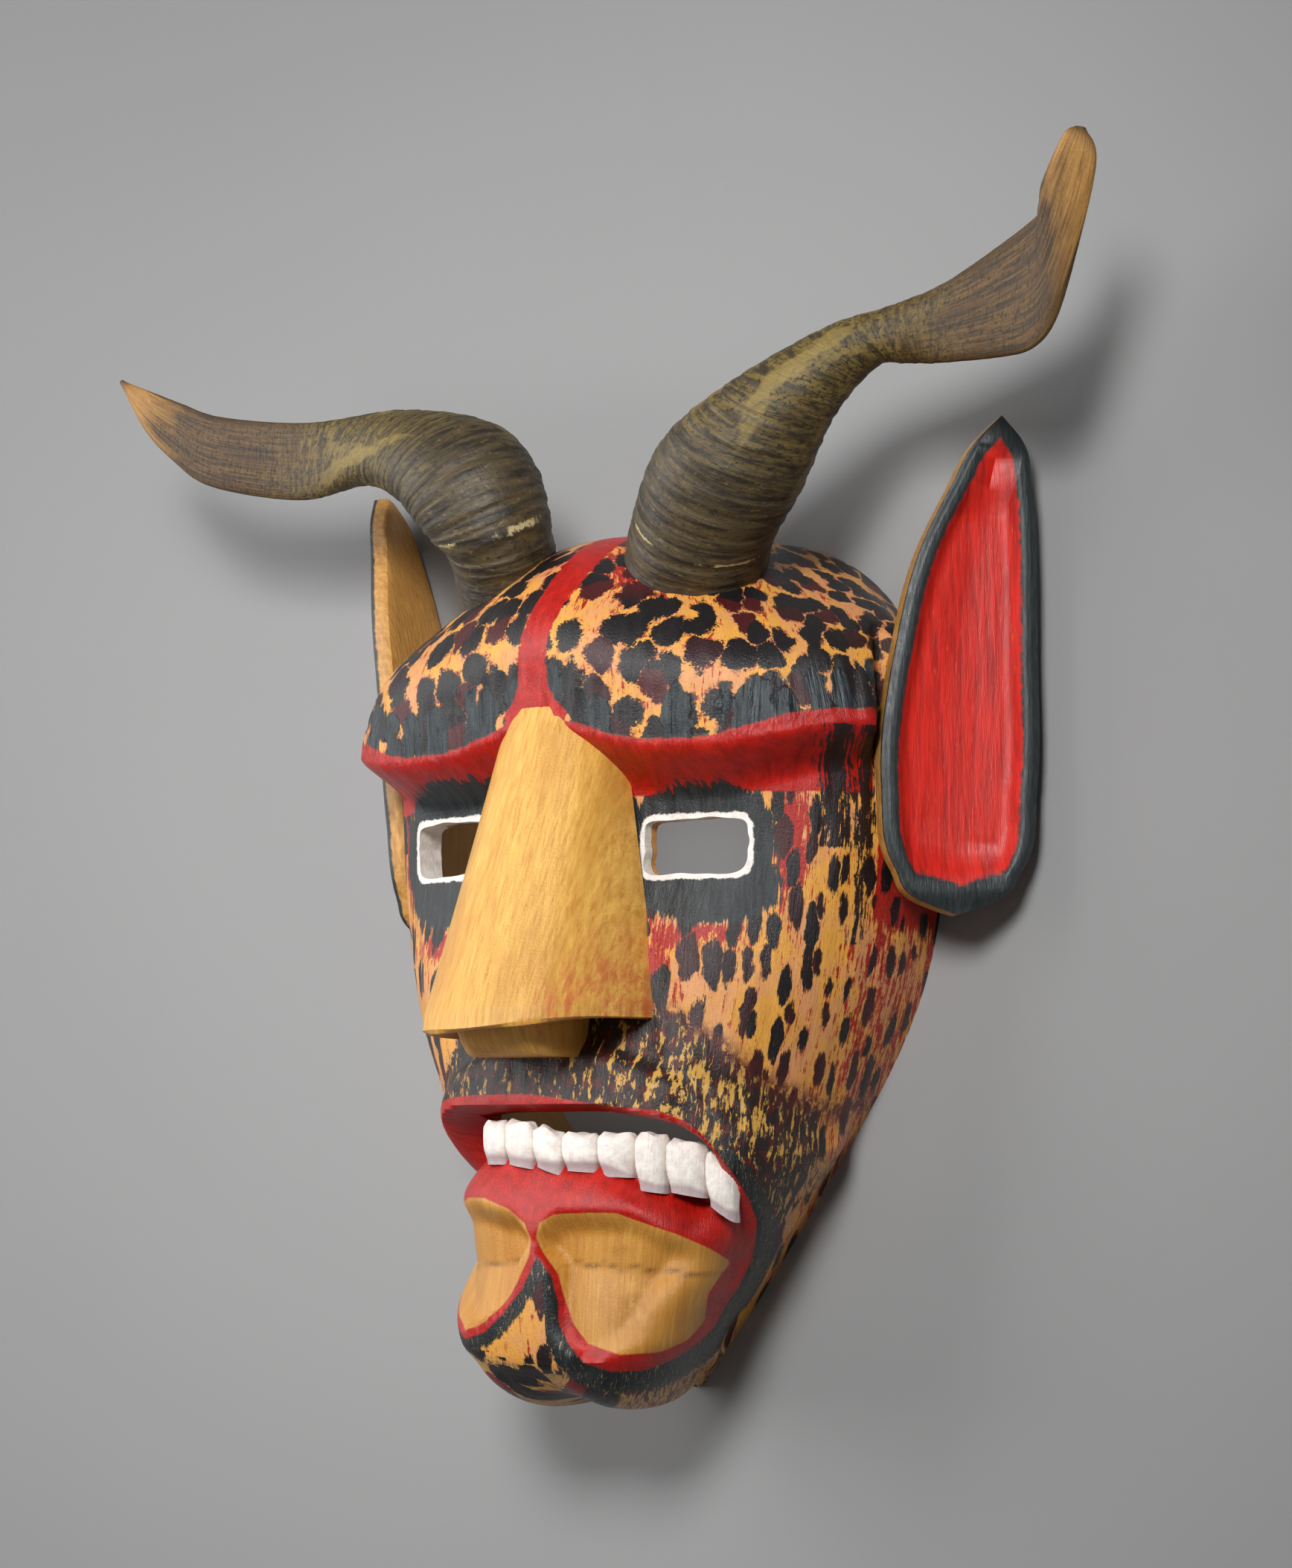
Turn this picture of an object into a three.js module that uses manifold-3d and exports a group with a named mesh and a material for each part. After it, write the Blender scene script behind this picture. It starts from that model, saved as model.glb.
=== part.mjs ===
// Devil mask: a hollow carved wooden face with two board ears and two goat horns.
// Millimetres. x runs to the mask's left, y from chin to crown, z out of the face.
// The mask lies on its back: the flat rim of the face is on z = 0.

import * as THREE from 'three';
import { mergeVertices } from 'three/addons/utils/BufferGeometryUtils.js';
import Module from 'manifold-3d';

// The face block: its height, and its half-width, depth and jaw flare at stations up the face
const CHIN_Y = -68;
const CROWN_Y = 186;
const STATIONS = {
  y: [-68, -50, -25, 0, 25, 50, 75, 100, 125, 150, 186],
  halfWidth: [14, 29, 44, 57, 70, 80, 86, 88, 89, 89, 86],
  depth: [86, 86, 84, 82, 78, 73, 70, 68, 70, 74, 74],
  flare: [32, 28, 18, 8, 0, 0, 0, 0, 0, 0, 0],
  squareness: [3.6, 3.6, 3.2, 2.8, 2.6, 2.6, 2.8, 3.1, 3.0, 2.3, 1.8],
};
const CHIN_SAG = 8;

// The mouth's left corner is fuller than its right one
const FULL_LEFT = { more: 10, y: -8, spread: 28 };
const THIN_RIGHT = { less: 6, y: -2, spread: 20 };

// Thickness of the wall round the hollow behind the face
const WALL = { rim: 11, forehead: 12, eyes: 8, jaw: 16 };

// The carving on the face
const BROW = { y: 126, rise: 14, undercut: 15 };
const NOSE = {
  rootY: 126, length: 90, rootHalf: 19, leftHalf: 35, rightHalf: 31.5, rootZ: 85, tipZ: 124, seatZ: 64, leftLift: 4,
};
const SEPTUM = { half: 13, lowY: 29, topZ: 100 };
const MOUTH = {
  y: -8,
  up: 24,
  left: { halfWidth: 54.5, down: 54, upPower: 3, downPower: 2.4, gap: 53 },
  right: { halfWidth: 48, down: 52, upPower: 5, downPower: 2, gap: 46 },
};
const MOUTH_GAP = { from: -33, to: 51.5, up: 21.8 };
const TEETH = { edges: [-23, -13, -2, 8, 19, 29.5, 37.5, 47, 54], thick: 8, between: 0.9, proud: 3.2 };
const LEFT_EYE = { side: 1, innerX: 26, outerX: 57, lowY: 81, highY: 97 };
const RIGHT_EYE = { side: -1, innerX: 27, outerX: 63, lowY: 84, highY: 100 };
const EYE_CORNER = 3;

// The ears: boards fixed to the sides of the head, hollowed in front. The left one flares out,
// the right one lies along the head and bends out at its tip.
const EAR = { length: 144, rim: 6, hollow: 4.5 };
const LEFT_EAR = { side: 1, x: 91, y: 69, z: 41, turn: 45, width: 1, bend: 0, thick: 11 };
const RIGHT_EAR = { side: -1, x: 92, y: 68, z: 35, turn: 92, width: 0.75, bend: 30, thick: 8 };

// The ears and horns stand this far off the face's surface
const GAP = 0.3;

// Edges of the surface shorter than this are run together
const FINEST = 0.06;

const COLOURS = {
  paintedWood: 0xb5502a,
  ear: 0xc02a1c,
  horn: 0x6e5c38,
};

const wasm = await Module();
wasm.setup();

// A smooth step from 0 at a to 1 at b
function smooth(a, b, x) {
  const t = Math.min(Math.max((x - a) / (b - a), 0), 1);
  return t * t * (3 - 2 * t);
}

// A bell-shaped hill of height 1
function bump(x, centre, spread) {
  return Math.exp(-(((x - centre) / spread) ** 2));
}

function clamp(x, lo, hi) {
  return Math.min(Math.max(x, lo), hi);
}

// A smooth curve through the values that the stations give
function along(values, x, places = STATIONS.y) {
  const last = places.length - 1;
  const slope = (i) => {
    if (i === 0) {
      return (values[1] - values[0]) / (places[1] - places[0]);
    }
    if (i === last) {
      return (values[last] - values[last - 1]) / (places[last] - places[last - 1]);
    }
    const before = places[i] - places[i - 1];
    const after = places[i + 1] - places[i];
    const low = (values[i] - values[i - 1]) / before;
    const high = (values[i + 1] - values[i]) / after;
    return (low * after + high * before) / (before + after);
  };
  let i = 0;
  while (i < last - 1 && x > places[i + 1]) {
    i += 1;
  }
  const h = places[i + 1] - places[i];
  const t = clamp((x - places[i]) / h, 0, 1);
  const rise = t * t * (3 - 2 * t);
  return (1 - rise) * values[i] + rise * values[i + 1]
    + t * (1 - t) * (1 - t) * h * slope(i) - t * t * (1 - t) * h * slope(i + 1);
}

// Radius of a superellipse in the direction of an angle
function squareRound(power, angle) {
  return (Math.abs(Math.cos(angle)) ** power + Math.abs(Math.sin(angle)) ** power) ** (-1 / power);
}

// The outside of the face: nothing taken off for a wall
const NO_WALL = { side: 0, front: () => 0, flare: 1, end: 0 };

// A point of the plain face. up runs from the chin (-90 degrees) to the crown, across from the
// mask's right rim (0) to its left rim (180 degrees). Each slice across is an arch.
function plainFace(across, up, wall = NO_WALL) {
  const middle = (CHIN_Y + CROWN_Y) / 2;
  const half = (CROWN_Y - CHIN_Y) / 2 - wall.end;
  const endPower = up > 0 ? 5 : 6.5;
  const reach = squareRound(endPower, up);
  const lift = reach * Math.sin(up);
  const closing = reach * Math.cos(up);
  const y = middle + half * lift;
  const rimPower = up > 0 ? 3.3 : 2.1;
  const rimClosing = Math.max(1 - Math.abs(lift) ** rimPower, 0) ** (1 / rimPower);
  const halfWidth = (along(STATIONS.halfWidth, y) - wall.side) * rimClosing;
  const depth = (along(STATIONS.depth, y) - wall.front(y)) * closing;
  const power = along(STATIONS.squareness, y);
  const r = squareRound(power, across);
  const c = -r * Math.cos(across);
  const fuller = FULL_LEFT.more * bump(y, FULL_LEFT.y, FULL_LEFT.spread);
  const thinner = THIN_RIGHT.less * bump(y, THIN_RIGHT.y, THIN_RIGHT.spread);
  const flare = (along(STATIONS.flare, y) + (c > 0 ? fuller : -thinner)) * closing * wall.flare;
  const s = r * Math.sin(across);
  return {
    x: c * (halfWidth + flare * s),
    y: y - (wall.end > 0 ? 0 : CHIN_SAG * s * closing * (1 - smooth(-68, -20, y))),
    z: depth * s,
    c,
    s,
    closing,
  };
}

// The brow's lower edge: it dips beside the nose and lifts at the temples
function browLine(x) {
  return BROW.y - 8 * smooth(0, 38, Math.abs(x)) + 8 * smooth(50, 88, Math.abs(x));
}

// The lower edge of the lower lip, the foot of the teeth and their tops
function lipLine(x) {
  return -13.5 - 7 * bump(x, 0.5, 5) - 9.5 * smooth(28, 47, x) + 2.5 * smooth(10, 24, -x);
}

function teethFoot(x) {
  return 0.5 - 2 * smooth(-16, 8, x) - 6.5 * smooth(18, 38, x) - 8 * smooth(42, 56, x);
}

function teethTop(x) {
  return 11.3 - 4.3 * smooth(-10, 14, x) - 3 * smooth(30, 46, x) - 9 * smooth(44, 58, x);
}

// How far inside the mouth's outer border a point is. The mouth is pulled out to the left.
function insideMouth(x, y) {
  const half = x > 0 ? MOUTH.left : MOUTH.right;
  const above = y > MOUTH.y;
  const power = above ? half.upPower : half.downPower;
  const reach = above ? MOUTH.up : half.down;
  const rho = ((Math.abs(x) / half.halfWidth) ** power + (Math.abs(y - MOUTH.y) / reach) ** power) ** (1 / power);
  return (1 - rho) * 30;
}

// How far a point is from the pointed ridge of the chin, which parts the two hollows
function besideRidge(x, y) {
  const apex = -26;
  if (y >= apex) {
    return Math.hypot(x, y - apex);
  }
  if (x > 0) {
    const t = clamp((apex - y) / 32, 0, 1.1);
    return x - 5 * Math.sqrt(clamp(6 * t, 0, 1)) - 20 * t ** 10;
  }
  const t = clamp((apex - y) / 24, 0, 1.3);
  return -x - 3 * Math.sqrt(clamp(6 * t, 0, 1)) - 26 * t ** 3.5;
}

// Depth of the mouth's carving: teeth set back, a full lower lip, a hollow on each side below it
function mouthRecess(x, y) {
  const inside = insideMouth(x, y);
  if (inside <= 0) {
    return 0;
  }
  const foot = teethFoot(x);
  const lip = lipLine(x);
  const side = (x / (x > 0 ? 47 : 42)) ** 2;
  const teethBack = 6.5 + 9 * side;
  const lipCrest = 0.8 + 4.5 * side;
  let recess = teethBack;
  if (y <= foot && y > lip) {
    const q = clamp((foot - y) / Math.max(foot - lip, 4), 0, 1);
    recess = lipCrest + (teethBack - lipCrest) * (1 - q) ** 1.7;
  }
  if (y <= lip) {
    const crease = -30 - 3 * smooth(10, 45, x);
    const floor = 8.5 - 0.22 * clamp(crease - y, 0, 30) - 0.12 * clamp(y - crease, 0, 30);
    recess = lipCrest + (floor - lipCrest) * smooth(0, 8, lip - y);
  }
  if (y < lip + 2) {
    recess *= smooth(0, 6, besideRidge(x, y));
  }
  return recess * smooth(0, 1, inside / (y > MOUTH.y ? 2.5 : 5));
}

// The carved face: the plain face with brow, sockets, cheeks, muzzle, mouth and chin
function carvedFace(across, up) {
  const p = plainFace(across, up);
  let nx = Math.sign(p.c) * p.c * p.c;
  let nz = p.s * p.s;
  const length = Math.hypot(nx, nz) + 1e-9;
  nx /= length;
  nz /= length;
  const front = smooth(0, 0.25, p.s);
  const wide = Math.abs(p.x);
  const overBrow = p.y - browLine(p.x);
  let f = smooth(-BROW.undercut, 0, overBrow) * (1 - smooth(20, 62, overBrow)) * BROW.rise
    * smooth(0, 0.35, p.s) * p.closing;
  f -= 4 * bump(wide, 44, 24) * bump(p.y, 92, 22) * front;
  f += 3 * bump(wide, 48, 20) * bump(p.y, 50, 25) * front;
  f += 3 * (1 - smooth(0.92, 1.04, Math.hypot(p.x / (p.x > 0 ? 65 : 60), (p.y + 14) / 48))) * front;
  f += 5 * bump(wide, 36, 14) * bump(p.y, -66, 12) * front;
  f -= mouthRecess(p.x, p.y) * front;
  const x = p.x + nx * f;
  const y = p.y + 4 * bump(x, 0, 8) * (1 - smooth(-74, -58, p.y)) * front;
  return [x, y, p.z + nz * f];
}

// Positions from lo to hi, closer together where weight is large
function spaced(count, lo, hi, weight) {
  const steps = 1000;
  const sums = [0];
  for (let i = 1; i <= steps; i += 1) {
    sums.push(sums[i - 1] + weight(lo + ((hi - lo) * (i - 0.5)) / steps));
  }
  const out = [];
  let k = 0;
  for (let i = 0; i < count; i += 1) {
    const target = (sums[steps] * i) / (count - 1);
    while (k < steps - 1 && sums[k + 1] < target) {
      k += 1;
    }
    const part = (target - sums[k]) / (sums[k + 1] - sums[k]);
    out.push(lo + ((hi - lo) * (k + part)) / steps);
  }
  return out;
}

// The distance between two points
function apart(p, q) {
  return Math.hypot(p[0] - q[0], p[1] - q[1], p[2] - q[2]);
}

// A closed solid over a domed sheet of points: rows run up the face and end in a point at each
// pole, columns run across, and the two border columns are joined by a flat back.
function domeSolid(rows) {
  const points = [];
  const index = rows.map((row, j) => {
    if (j === 0 || j === rows.length - 1) {
      points.push(row[0]);
      return row.map(() => points.length - 1);
    }
    return row.map((q) => points.push(q) - 1);
  });
  const tris = [];
  const face = (a, b, c) => {
    if (a !== b && b !== c && c !== a) {
      tris.push(a, b, c);
    }
  };
  for (let j = 0; j + 1 < index.length; j += 1) {
    const low = index[j];
    const high = index[j + 1];
    const n = low.length;
    for (let i = 0; i < n; i += 1) {
      const k = (i + 1) % n;
      if (apart(points[low[i]], points[high[k]]) < apart(points[low[k]], points[high[i]])) {
        face(low[i], low[k], high[k]);
        face(low[i], high[k], high[i]);
      } else {
        face(low[i], low[k], high[i]);
        face(low[k], high[k], high[i]);
      }
    }
  }
  return solidFrom(points, tris);
}

// A manifold solid from points and triangles
function solidFrom(points, tris) {
  const geometry = new THREE.BufferGeometry();
  geometry.setAttribute('position', new THREE.Float32BufferAttribute(points.flat(), 3));
  geometry.setIndex(tris);
  return solid(geometry);
}

// A manifold solid from a closed geometry
function solid(geometry) {
  const plain = geometry.clone();
  plain.deleteAttribute('normal');
  plain.deleteAttribute('uv');
  const merged = mergeVertices(plain, 1e-4);
  return new wasm.Manifold(new wasm.Mesh({
    numProp: 3,
    vertProperties: new Float32Array(merged.attributes.position.array),
    triVerts: new Uint32Array(merged.index.array),
  }));
}

// A named mesh of a solid
function meshFrom(body, name, colour, roughness) {
  const data = body.simplify(FINEST).getMesh();
  const geometry = new THREE.BufferGeometry();
  geometry.setAttribute('position', new THREE.BufferAttribute(new Float32Array(data.vertProperties), 3));
  geometry.setIndex(new THREE.BufferAttribute(new Uint32Array(data.triVerts), 1));
  geometry.computeVertexNormals();
  const material = new THREE.MeshStandardMaterial({ color: colour, roughness, metalness: 0 });
  const mesh = new THREE.Mesh(geometry, material);
  mesh.name = name;
  return mesh;
}

// A straight bar with the outline shape, from z = from to z = to
function bar(shape, from, to) {
  const geometry = new THREE.ExtrudeGeometry(shape, { depth: to - from, bevelEnabled: false, steps: 1 });
  geometry.translate(0, 0, from);
  return solid(geometry);
}

// A flat shape with the given corners
function outline(points) {
  return new THREE.Shape(points.map(([x, y]) => new THREE.Vector2(x, y)));
}

// A rectangular hole with rounded corners, straight through the wall
function eyeHole({ side, innerX, outerX, lowY, highY }) {
  const points = [];
  const corners = [[outerX, lowY, -90], [outerX, highY, 0], [innerX, highY, 90], [innerX, lowY, 180]];
  for (const [x, y, start] of corners) {
    const cx = x === outerX ? x - EYE_CORNER : x + EYE_CORNER;
    const cy = y === highY ? y - EYE_CORNER : y + EYE_CORNER;
    for (const turn of [0, 45, 90]) {
      const a = ((start + turn) * Math.PI) / 180;
      points.push([side * (cx + EYE_CORNER * Math.cos(a)), cy + EYE_CORNER * Math.sin(a)]);
    }
  }
  return bar(outline(points), 20, 100);
}

// The gap over the teeth: it follows the upper lip, and ends below behind the teeth
function mouthGap() {
  const steps = 14;
  const low = [];
  const high = [];
  for (let i = 0; i <= steps; i += 1) {
    const x = MOUTH_GAP.from + ((MOUTH_GAP.to - MOUTH_GAP.from) * i) / steps;
    const half = x > 0 ? MOUTH.left : MOUTH.right;
    const arch = (1 - (Math.abs(x) / half.gap) ** half.upPower) ** (1 / half.upPower);
    low.push([x, teethTop(x) - 4]);
    high.unshift([x, MOUTH.y + MOUTH_GAP.up * arch]);
  }
  return bar(outline([...low, ...high]), 15, 100);
}

// The height of the carved face at x and y
function faceHeight(x, y) {
  let across = Math.PI / 2;
  let up = 0;
  for (let pass = 0; pass < 5; pass += 1) {
    up = solve((angle) => carvedFace(across, angle)[1], y, -Math.PI / 2, Math.PI / 2);
    across = solve((angle) => carvedFace(angle, up)[0], x, 0, Math.PI);
  }
  return carvedFace(across, up)[2];
}

// Where a rising function reaches a value
function solve(rising, value, from, to) {
  let low = from;
  let high = to;
  for (let i = 0; i < 24; i += 1) {
    const mid = (low + high) / 2;
    if (rising(mid) < value) {
      low = mid;
    } else {
      high = mid;
    }
  }
  return (low + high) / 2;
}

// One upright tooth with rounded corners, wider at its top
function tooth(x, width) {
  const foot = teethFoot(x) - 2;
  const top = teethTop(x);
  const front = faceHeight(x, (foot + top) / 2) + TEETH.proud;
  const levels = [
    { y: foot, size: 0.9, front: -1 },
    { y: foot + 3, size: 0.96, front: 0 },
    { y: top - 2.5, size: 1, front: 0 },
    { y: top, size: 0.86, front: -1.6 },
  ];
  const half = width / 2;
  const slope = (teethTop(x + 3) - teethTop(x - 3)) / 6;
  const lean = (faceHeight(x + 4, (foot + top) / 2) - faceHeight(x - 4, (foot + top) / 2)) / 8;
  const section = [[-1, -TEETH.thick], [1, -TEETH.thick], [1, -2.4], [0.62, -0.5], [-0.62, -0.5], [-1, -2.4]];
  const points = [];
  const loops = levels.map((level) => section.map(([u, depth]) => {
    const dx = u * half * level.size;
    return points.push([
      x + dx,
      level.y + slope * dx,
      front + level.front + depth + clamp(lean, -1.2, 1.2) * dx,
    ]) - 1;
  }));
  return solidFrom(points, skin(loops));
}

// Triangles over a stack of equal loops, closed at both ends
function skin(loops) {
  const tris = [];
  const n = loops[0].length;
  for (let j = 0; j + 1 < loops.length; j += 1) {
    for (let i = 0; i < n; i += 1) {
      const k = (i + 1) % n;
      tris.push(loops[j][i], loops[j + 1][k], loops[j][k]);
      tris.push(loops[j][i], loops[j + 1][i], loops[j + 1][k]);
    }
  }
  const first = loops[0];
  const last = loops[loops.length - 1];
  for (let i = 1; i + 1 < n; i += 1) {
    tris.push(first[0], first[i], first[i + 1]);
    tris.push(last[0], last[i + 1], last[i]);
  }
  return tris;
}

// The nose: a half-cone growing from root to tip, with the block between its nostrils. Its left
// side ends a little higher.
function nose() {
  const steps = 10;
  const round = 14;
  const points = [];
  const loops = [];
  for (let j = 0; j <= steps; j += 1) {
    const t = -0.04 + (1.04 * j) / steps;
    const left = NOSE.rootHalf + (NOSE.leftHalf - NOSE.rootHalf) * t;
    const right = NOSE.rootHalf + (NOSE.rightHalf - NOSE.rootHalf) * t;
    const ridge = NOSE.rootZ + (NOSE.tipZ - NOSE.rootZ) * t;
    const foot = 66 + 4 * t;
    const loop = [[left, NOSE.seatZ], [-right, NOSE.seatZ]];
    for (let i = 0; i <= round; i += 1) {
      const angle = Math.PI * (1 - i / round);
      const half = i * 2 < round ? right : left;
      loop.push([half * Math.cos(angle), foot + (ridge - foot) * Math.sin(angle)]);
    }
    const y = NOSE.rootY - NOSE.length * t;
    loops.push(loop.map(([x, z]) => {
      const lift = NOSE.leftLift * smooth(0, NOSE.leftHalf, x) * Math.max(t, 0) ** 4;
      return points.push([x, y + lift, z]) - 1;
    }));
  }
  const block = solidFrom(
    [1, -1].flatMap((side) => [
      [side * SEPTUM.half, SEPTUM.lowY + 3, NOSE.seatZ],
      [side * SEPTUM.half, NOSE.rootY - NOSE.length + 4, NOSE.seatZ],
      [side * SEPTUM.half, NOSE.rootY - NOSE.length + 4, SEPTUM.topZ + 8],
      [side * SEPTUM.half, SEPTUM.lowY, SEPTUM.topZ],
      [side * SEPTUM.half, SEPTUM.lowY, NOSE.seatZ + 8],
    ]),
    skin([[0, 1, 2, 3, 4], [5, 6, 7, 8, 9]]),
  );
  return solidFrom(points, skin(loops)).add(block);
}

// The carved face as rows of points, closer together at the mouth, brow and front
function faceRows() {
  const middle = Math.PI / 2;
  const heightAt = (up) => plainFace(middle, up).y;
  const ups = spaced(62, -middle, middle, (up) => {
    const y = heightAt(up);
    return 1 + 2.2 * bump(y, -12, 36) + 1.8 * bump(y, 119, 10);
  });
  const acrosses = spaced(46, 0, Math.PI, (a) => 1 + 1.3 * bump(a, middle, 0.75));
  const rows = ups.map((up) => acrosses.map((a) => carvedFace(a, up)));
  const pole = (j) => j === 0 || j === rows.length - 1;
  return rows.filter((row, j) => pole(j) || row[row.length - 1][0] > 1);
}

// The rows of a sheet moved outwards by a distance
function grown(rows, distance) {
  return rows.map((row, j) => row.map((point, i) => {
    const right = row[Math.min(i + 1, row.length - 1)];
    const left = row[Math.max(i - 1, 0)];
    const above = rows[Math.min(j + 1, rows.length - 1)][i];
    const below = rows[Math.max(j - 1, 0)][i];
    const acrossWay = new THREE.Vector3(...right).sub(new THREE.Vector3(...left));
    const upWay = new THREE.Vector3(...above).sub(new THREE.Vector3(...below));
    const out = acrossWay.cross(upWay).setLength(distance);
    const rim = i === 0 || i === row.length - 1;
    return [point[0] + out.x, point[1] + out.y, rim ? -distance : point[2] + out.z];
  }));
}

// The face: hollowed behind, with the eye holes, mouth gap, nose and teeth
function makeFace(rows) {
  const middle = Math.PI / 2;
  const wall = {
    side: WALL.rim,
    front: (y) => WALL.forehead + (WALL.eyes - WALL.forehead) * bump(y, 88, 30)
      + (WALL.jaw - WALL.forehead) * (1 - smooth(0, 50, y)),
    flare: 0.4,
    end: WALL.rim,
  };
  const innerUps = spaced(20, -middle, middle, () => 1);
  const innerAcrosses = spaced(22, 0, Math.PI, () => 1);
  const innerRows = innerUps.map((up) => {
    const arch = innerAcrosses.map((a) => {
      const p = plainFace(a, up, wall);
      return [p.x, p.y, Math.max(p.z, 0)];
    });
    const first = arch[0];
    const last = arch[arch.length - 1];
    return [[first[0], first[1], -5], ...arch, [last[0], last[1], -5]];
  });
  innerRows[0] = innerRows[0].map(([x, y]) => [x, y, -5]);
  innerRows[innerRows.length - 1] = innerRows[innerRows.length - 1].map(([x, y]) => [x, y, -5]);
  let body = domeSolid(rows).subtract(domeSolid(innerRows)).subtract(mouthGap()).add(nose());
  for (const eye of [LEFT_EYE, RIGHT_EYE]) {
    body = body.subtract(eyeHole(eye));
  }
  for (let i = 0; i + 1 < TEETH.edges.length; i += 1) {
    const right = TEETH.edges[i];
    const left = TEETH.edges[i + 1];
    body = body.add(tooth((right + left) / 2, left - right - TEETH.between));
  }
  return body;
}

// An ear board in its own plane: w across from the edge that is fixed to the head, h up it
const EAR_OUTLINE = {
  h: [0, 4, 13, 37, 77, 105, 123, 137, 144],
  fixedEdge: [22, 11, 4, 0, 4.5, 12, 21, 29, 36],
  freeEdge: [22, 33, 41, 45.5, 46, 46, 45, 42, 36],
};

function earBoard(place, head) {
  const heights = [0, 2, 5, 10, 18, 30, 45, 60, 77, 92, 105, 118, 130, 138, 142, 144];
  const edge = (values, h) => along(values, h, EAR_OUTLINE.h);
  const rings = [
    { inset: 0, n: 0 },
    { inset: 0, n: place.thick },
    { inset: EAR.rim, n: place.thick },
    { inset: EAR.rim + 4, n: place.thick - EAR.hollow },
  ];
  const points = [];
  const loops = rings.map(({ inset, n }) => {
    const bottom = inset * 1.4;
    const top = EAR.length - inset * 2.6;
    const loop = [];
    const at = (h0) => bottom + ((top - bottom) * h0) / EAR.length;
    const push = (w, h) => loop.push(points.push([w, h, n]) - 1);
    for (const h0 of heights) {
      const h = at(h0);
      const mid = (edge(EAR_OUTLINE.fixedEdge, h) + edge(EAR_OUTLINE.freeEdge, h)) / 2;
      const half = Math.max((edge(EAR_OUTLINE.freeEdge, h) - edge(EAR_OUTLINE.fixedEdge, h)) / 2 - inset, 0);
      push(mid + half * (h0 === 0 || h0 === EAR.length ? 0 : 1), h);
    }
    for (const h0 of heights.slice(1, -1).reverse()) {
      const h = at(h0);
      const mid = (edge(EAR_OUTLINE.fixedEdge, h) + edge(EAR_OUTLINE.freeEdge, h)) / 2;
      const half = Math.max((edge(EAR_OUTLINE.freeEdge, h) - edge(EAR_OUTLINE.fixedEdge, h)) / 2 - inset, 0.4);
      push(mid - half, h);
    }
    return loop;
  });
  const tris = [];
  const n = loops[0].length;
  for (let r = 0; r + 1 < loops.length; r += 1) {
    for (let i = 0; i < n; i += 1) {
      const k = (i + 1) % n;
      tris.push(loops[r][i], loops[r][k], loops[r + 1][k]);
      tris.push(loops[r][i], loops[r + 1][k], loops[r + 1][i]);
    }
  }
  const rows = heights.length;
  const cap = (loop, flip) => {
    for (let i = 0; i + 1 < rows; i += 1) {
      const a = loop[i];
      const b = loop[i + 1];
      const c = loop[(n - i - 1) % n];
      const d = loop[(n - i) % n];
      const quad = [[a, b, c], [a, c, d]];
      for (const [p, q, r] of quad) {
        if (p !== q && q !== r && r !== p) {
          tris.push(...(flip ? [p, r, q] : [p, q, r]));
        }
      }
    }
  };
  cap(loops[0], true);
  cap(loops[loops.length - 1], false);

  const turn = (place.turn * Math.PI) / 180;
  const placed = points.map(([w, h, d]) => {
    const out = w * place.width;
    const x = place.x + out * Math.cos(turn) + (d - place.thick) * Math.sin(turn) + place.bend * (h / EAR.length) ** 2;
    const z = place.z - out * Math.sin(turn) + (d - place.thick) * Math.cos(turn);
    return [place.side * x, place.y + h, z];
  });
  if (place.side < 0) {
    for (let i = 0; i < tris.length; i += 3) {
      [tris[i], tris[i + 1]] = [tris[i + 1], tris[i]];
    }
  }
  return solidFrom(placed, tris).subtract(head);
}

// A goat horn: an oval section carried from the foot to the tip, flattening into a blade. Each
// station is the section's right (later lower) edge, its left edge and its half-thickness.
const LEFT_HORN = [
  [7, 160, 52.5, 43, 164, 27.5, 22],
  [22, 185.5, 66, 55, 179, 42, 21.5],
  [38, 205, 74, 70, 191, 50, 18.5],
  [61, 220.5, 71.5, 84, 210, 54.5, 13],
  [86, 234.5, 61.5, 97, 223, 52.5, 8],
  [102.5, 239, 56, 106, 223, 52, 6.5],
  [121, 244, 53.5, 118.5, 221.5, 52.5, 4.5],
  [139, 251, 56, 137.5, 220.5, 54, 3.4],
  [153.5, 257.5, 59, 150, 221, 57, 2.8],
  [156.5, 260, 63.5, 158, 227.5, 58.5, 2.6],
  [159, 264.5, 67.5, 165.5, 245, 60.5, 2.4],
  [166.5, 275.5, 70, 173.5, 268, 64, 2],
  [169, 278, 68, 171.5, 277.5, 66, 1.2],
];
const RIGHT_HORN = [
  [-52, 157.5, 48, -26.5, 171.5, 32, 19],
  [-48, 179, 61.5, -22, 186, 44.5, 19],
  [-50, 184, 67.5, -21, 195.5, 48.5, 18],
  [-55, 191.5, 71, -24, 207.5, 51, 16],
  [-64, 200, 69.5, -36, 219, 52.5, 13],
  [-82.5, 206, 61, -69.5, 228, 55, 8.5],
  [-108.5, 204, 56.5, -106, 228, 57.5, 3.8],
  [-143, 211, 60, -139.5, 233, 60, 2.6],
  [-159.5, 221.5, 61.5, -156, 239, 60.5, 2.3],
  [-170.5, 232.5, 62.5, -168, 244, 61.5, 2],
  [-181.5, 248.5, 62.5, -180.5, 249, 61.5, 1],
];
const HORN_SIDES = 12;

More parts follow.
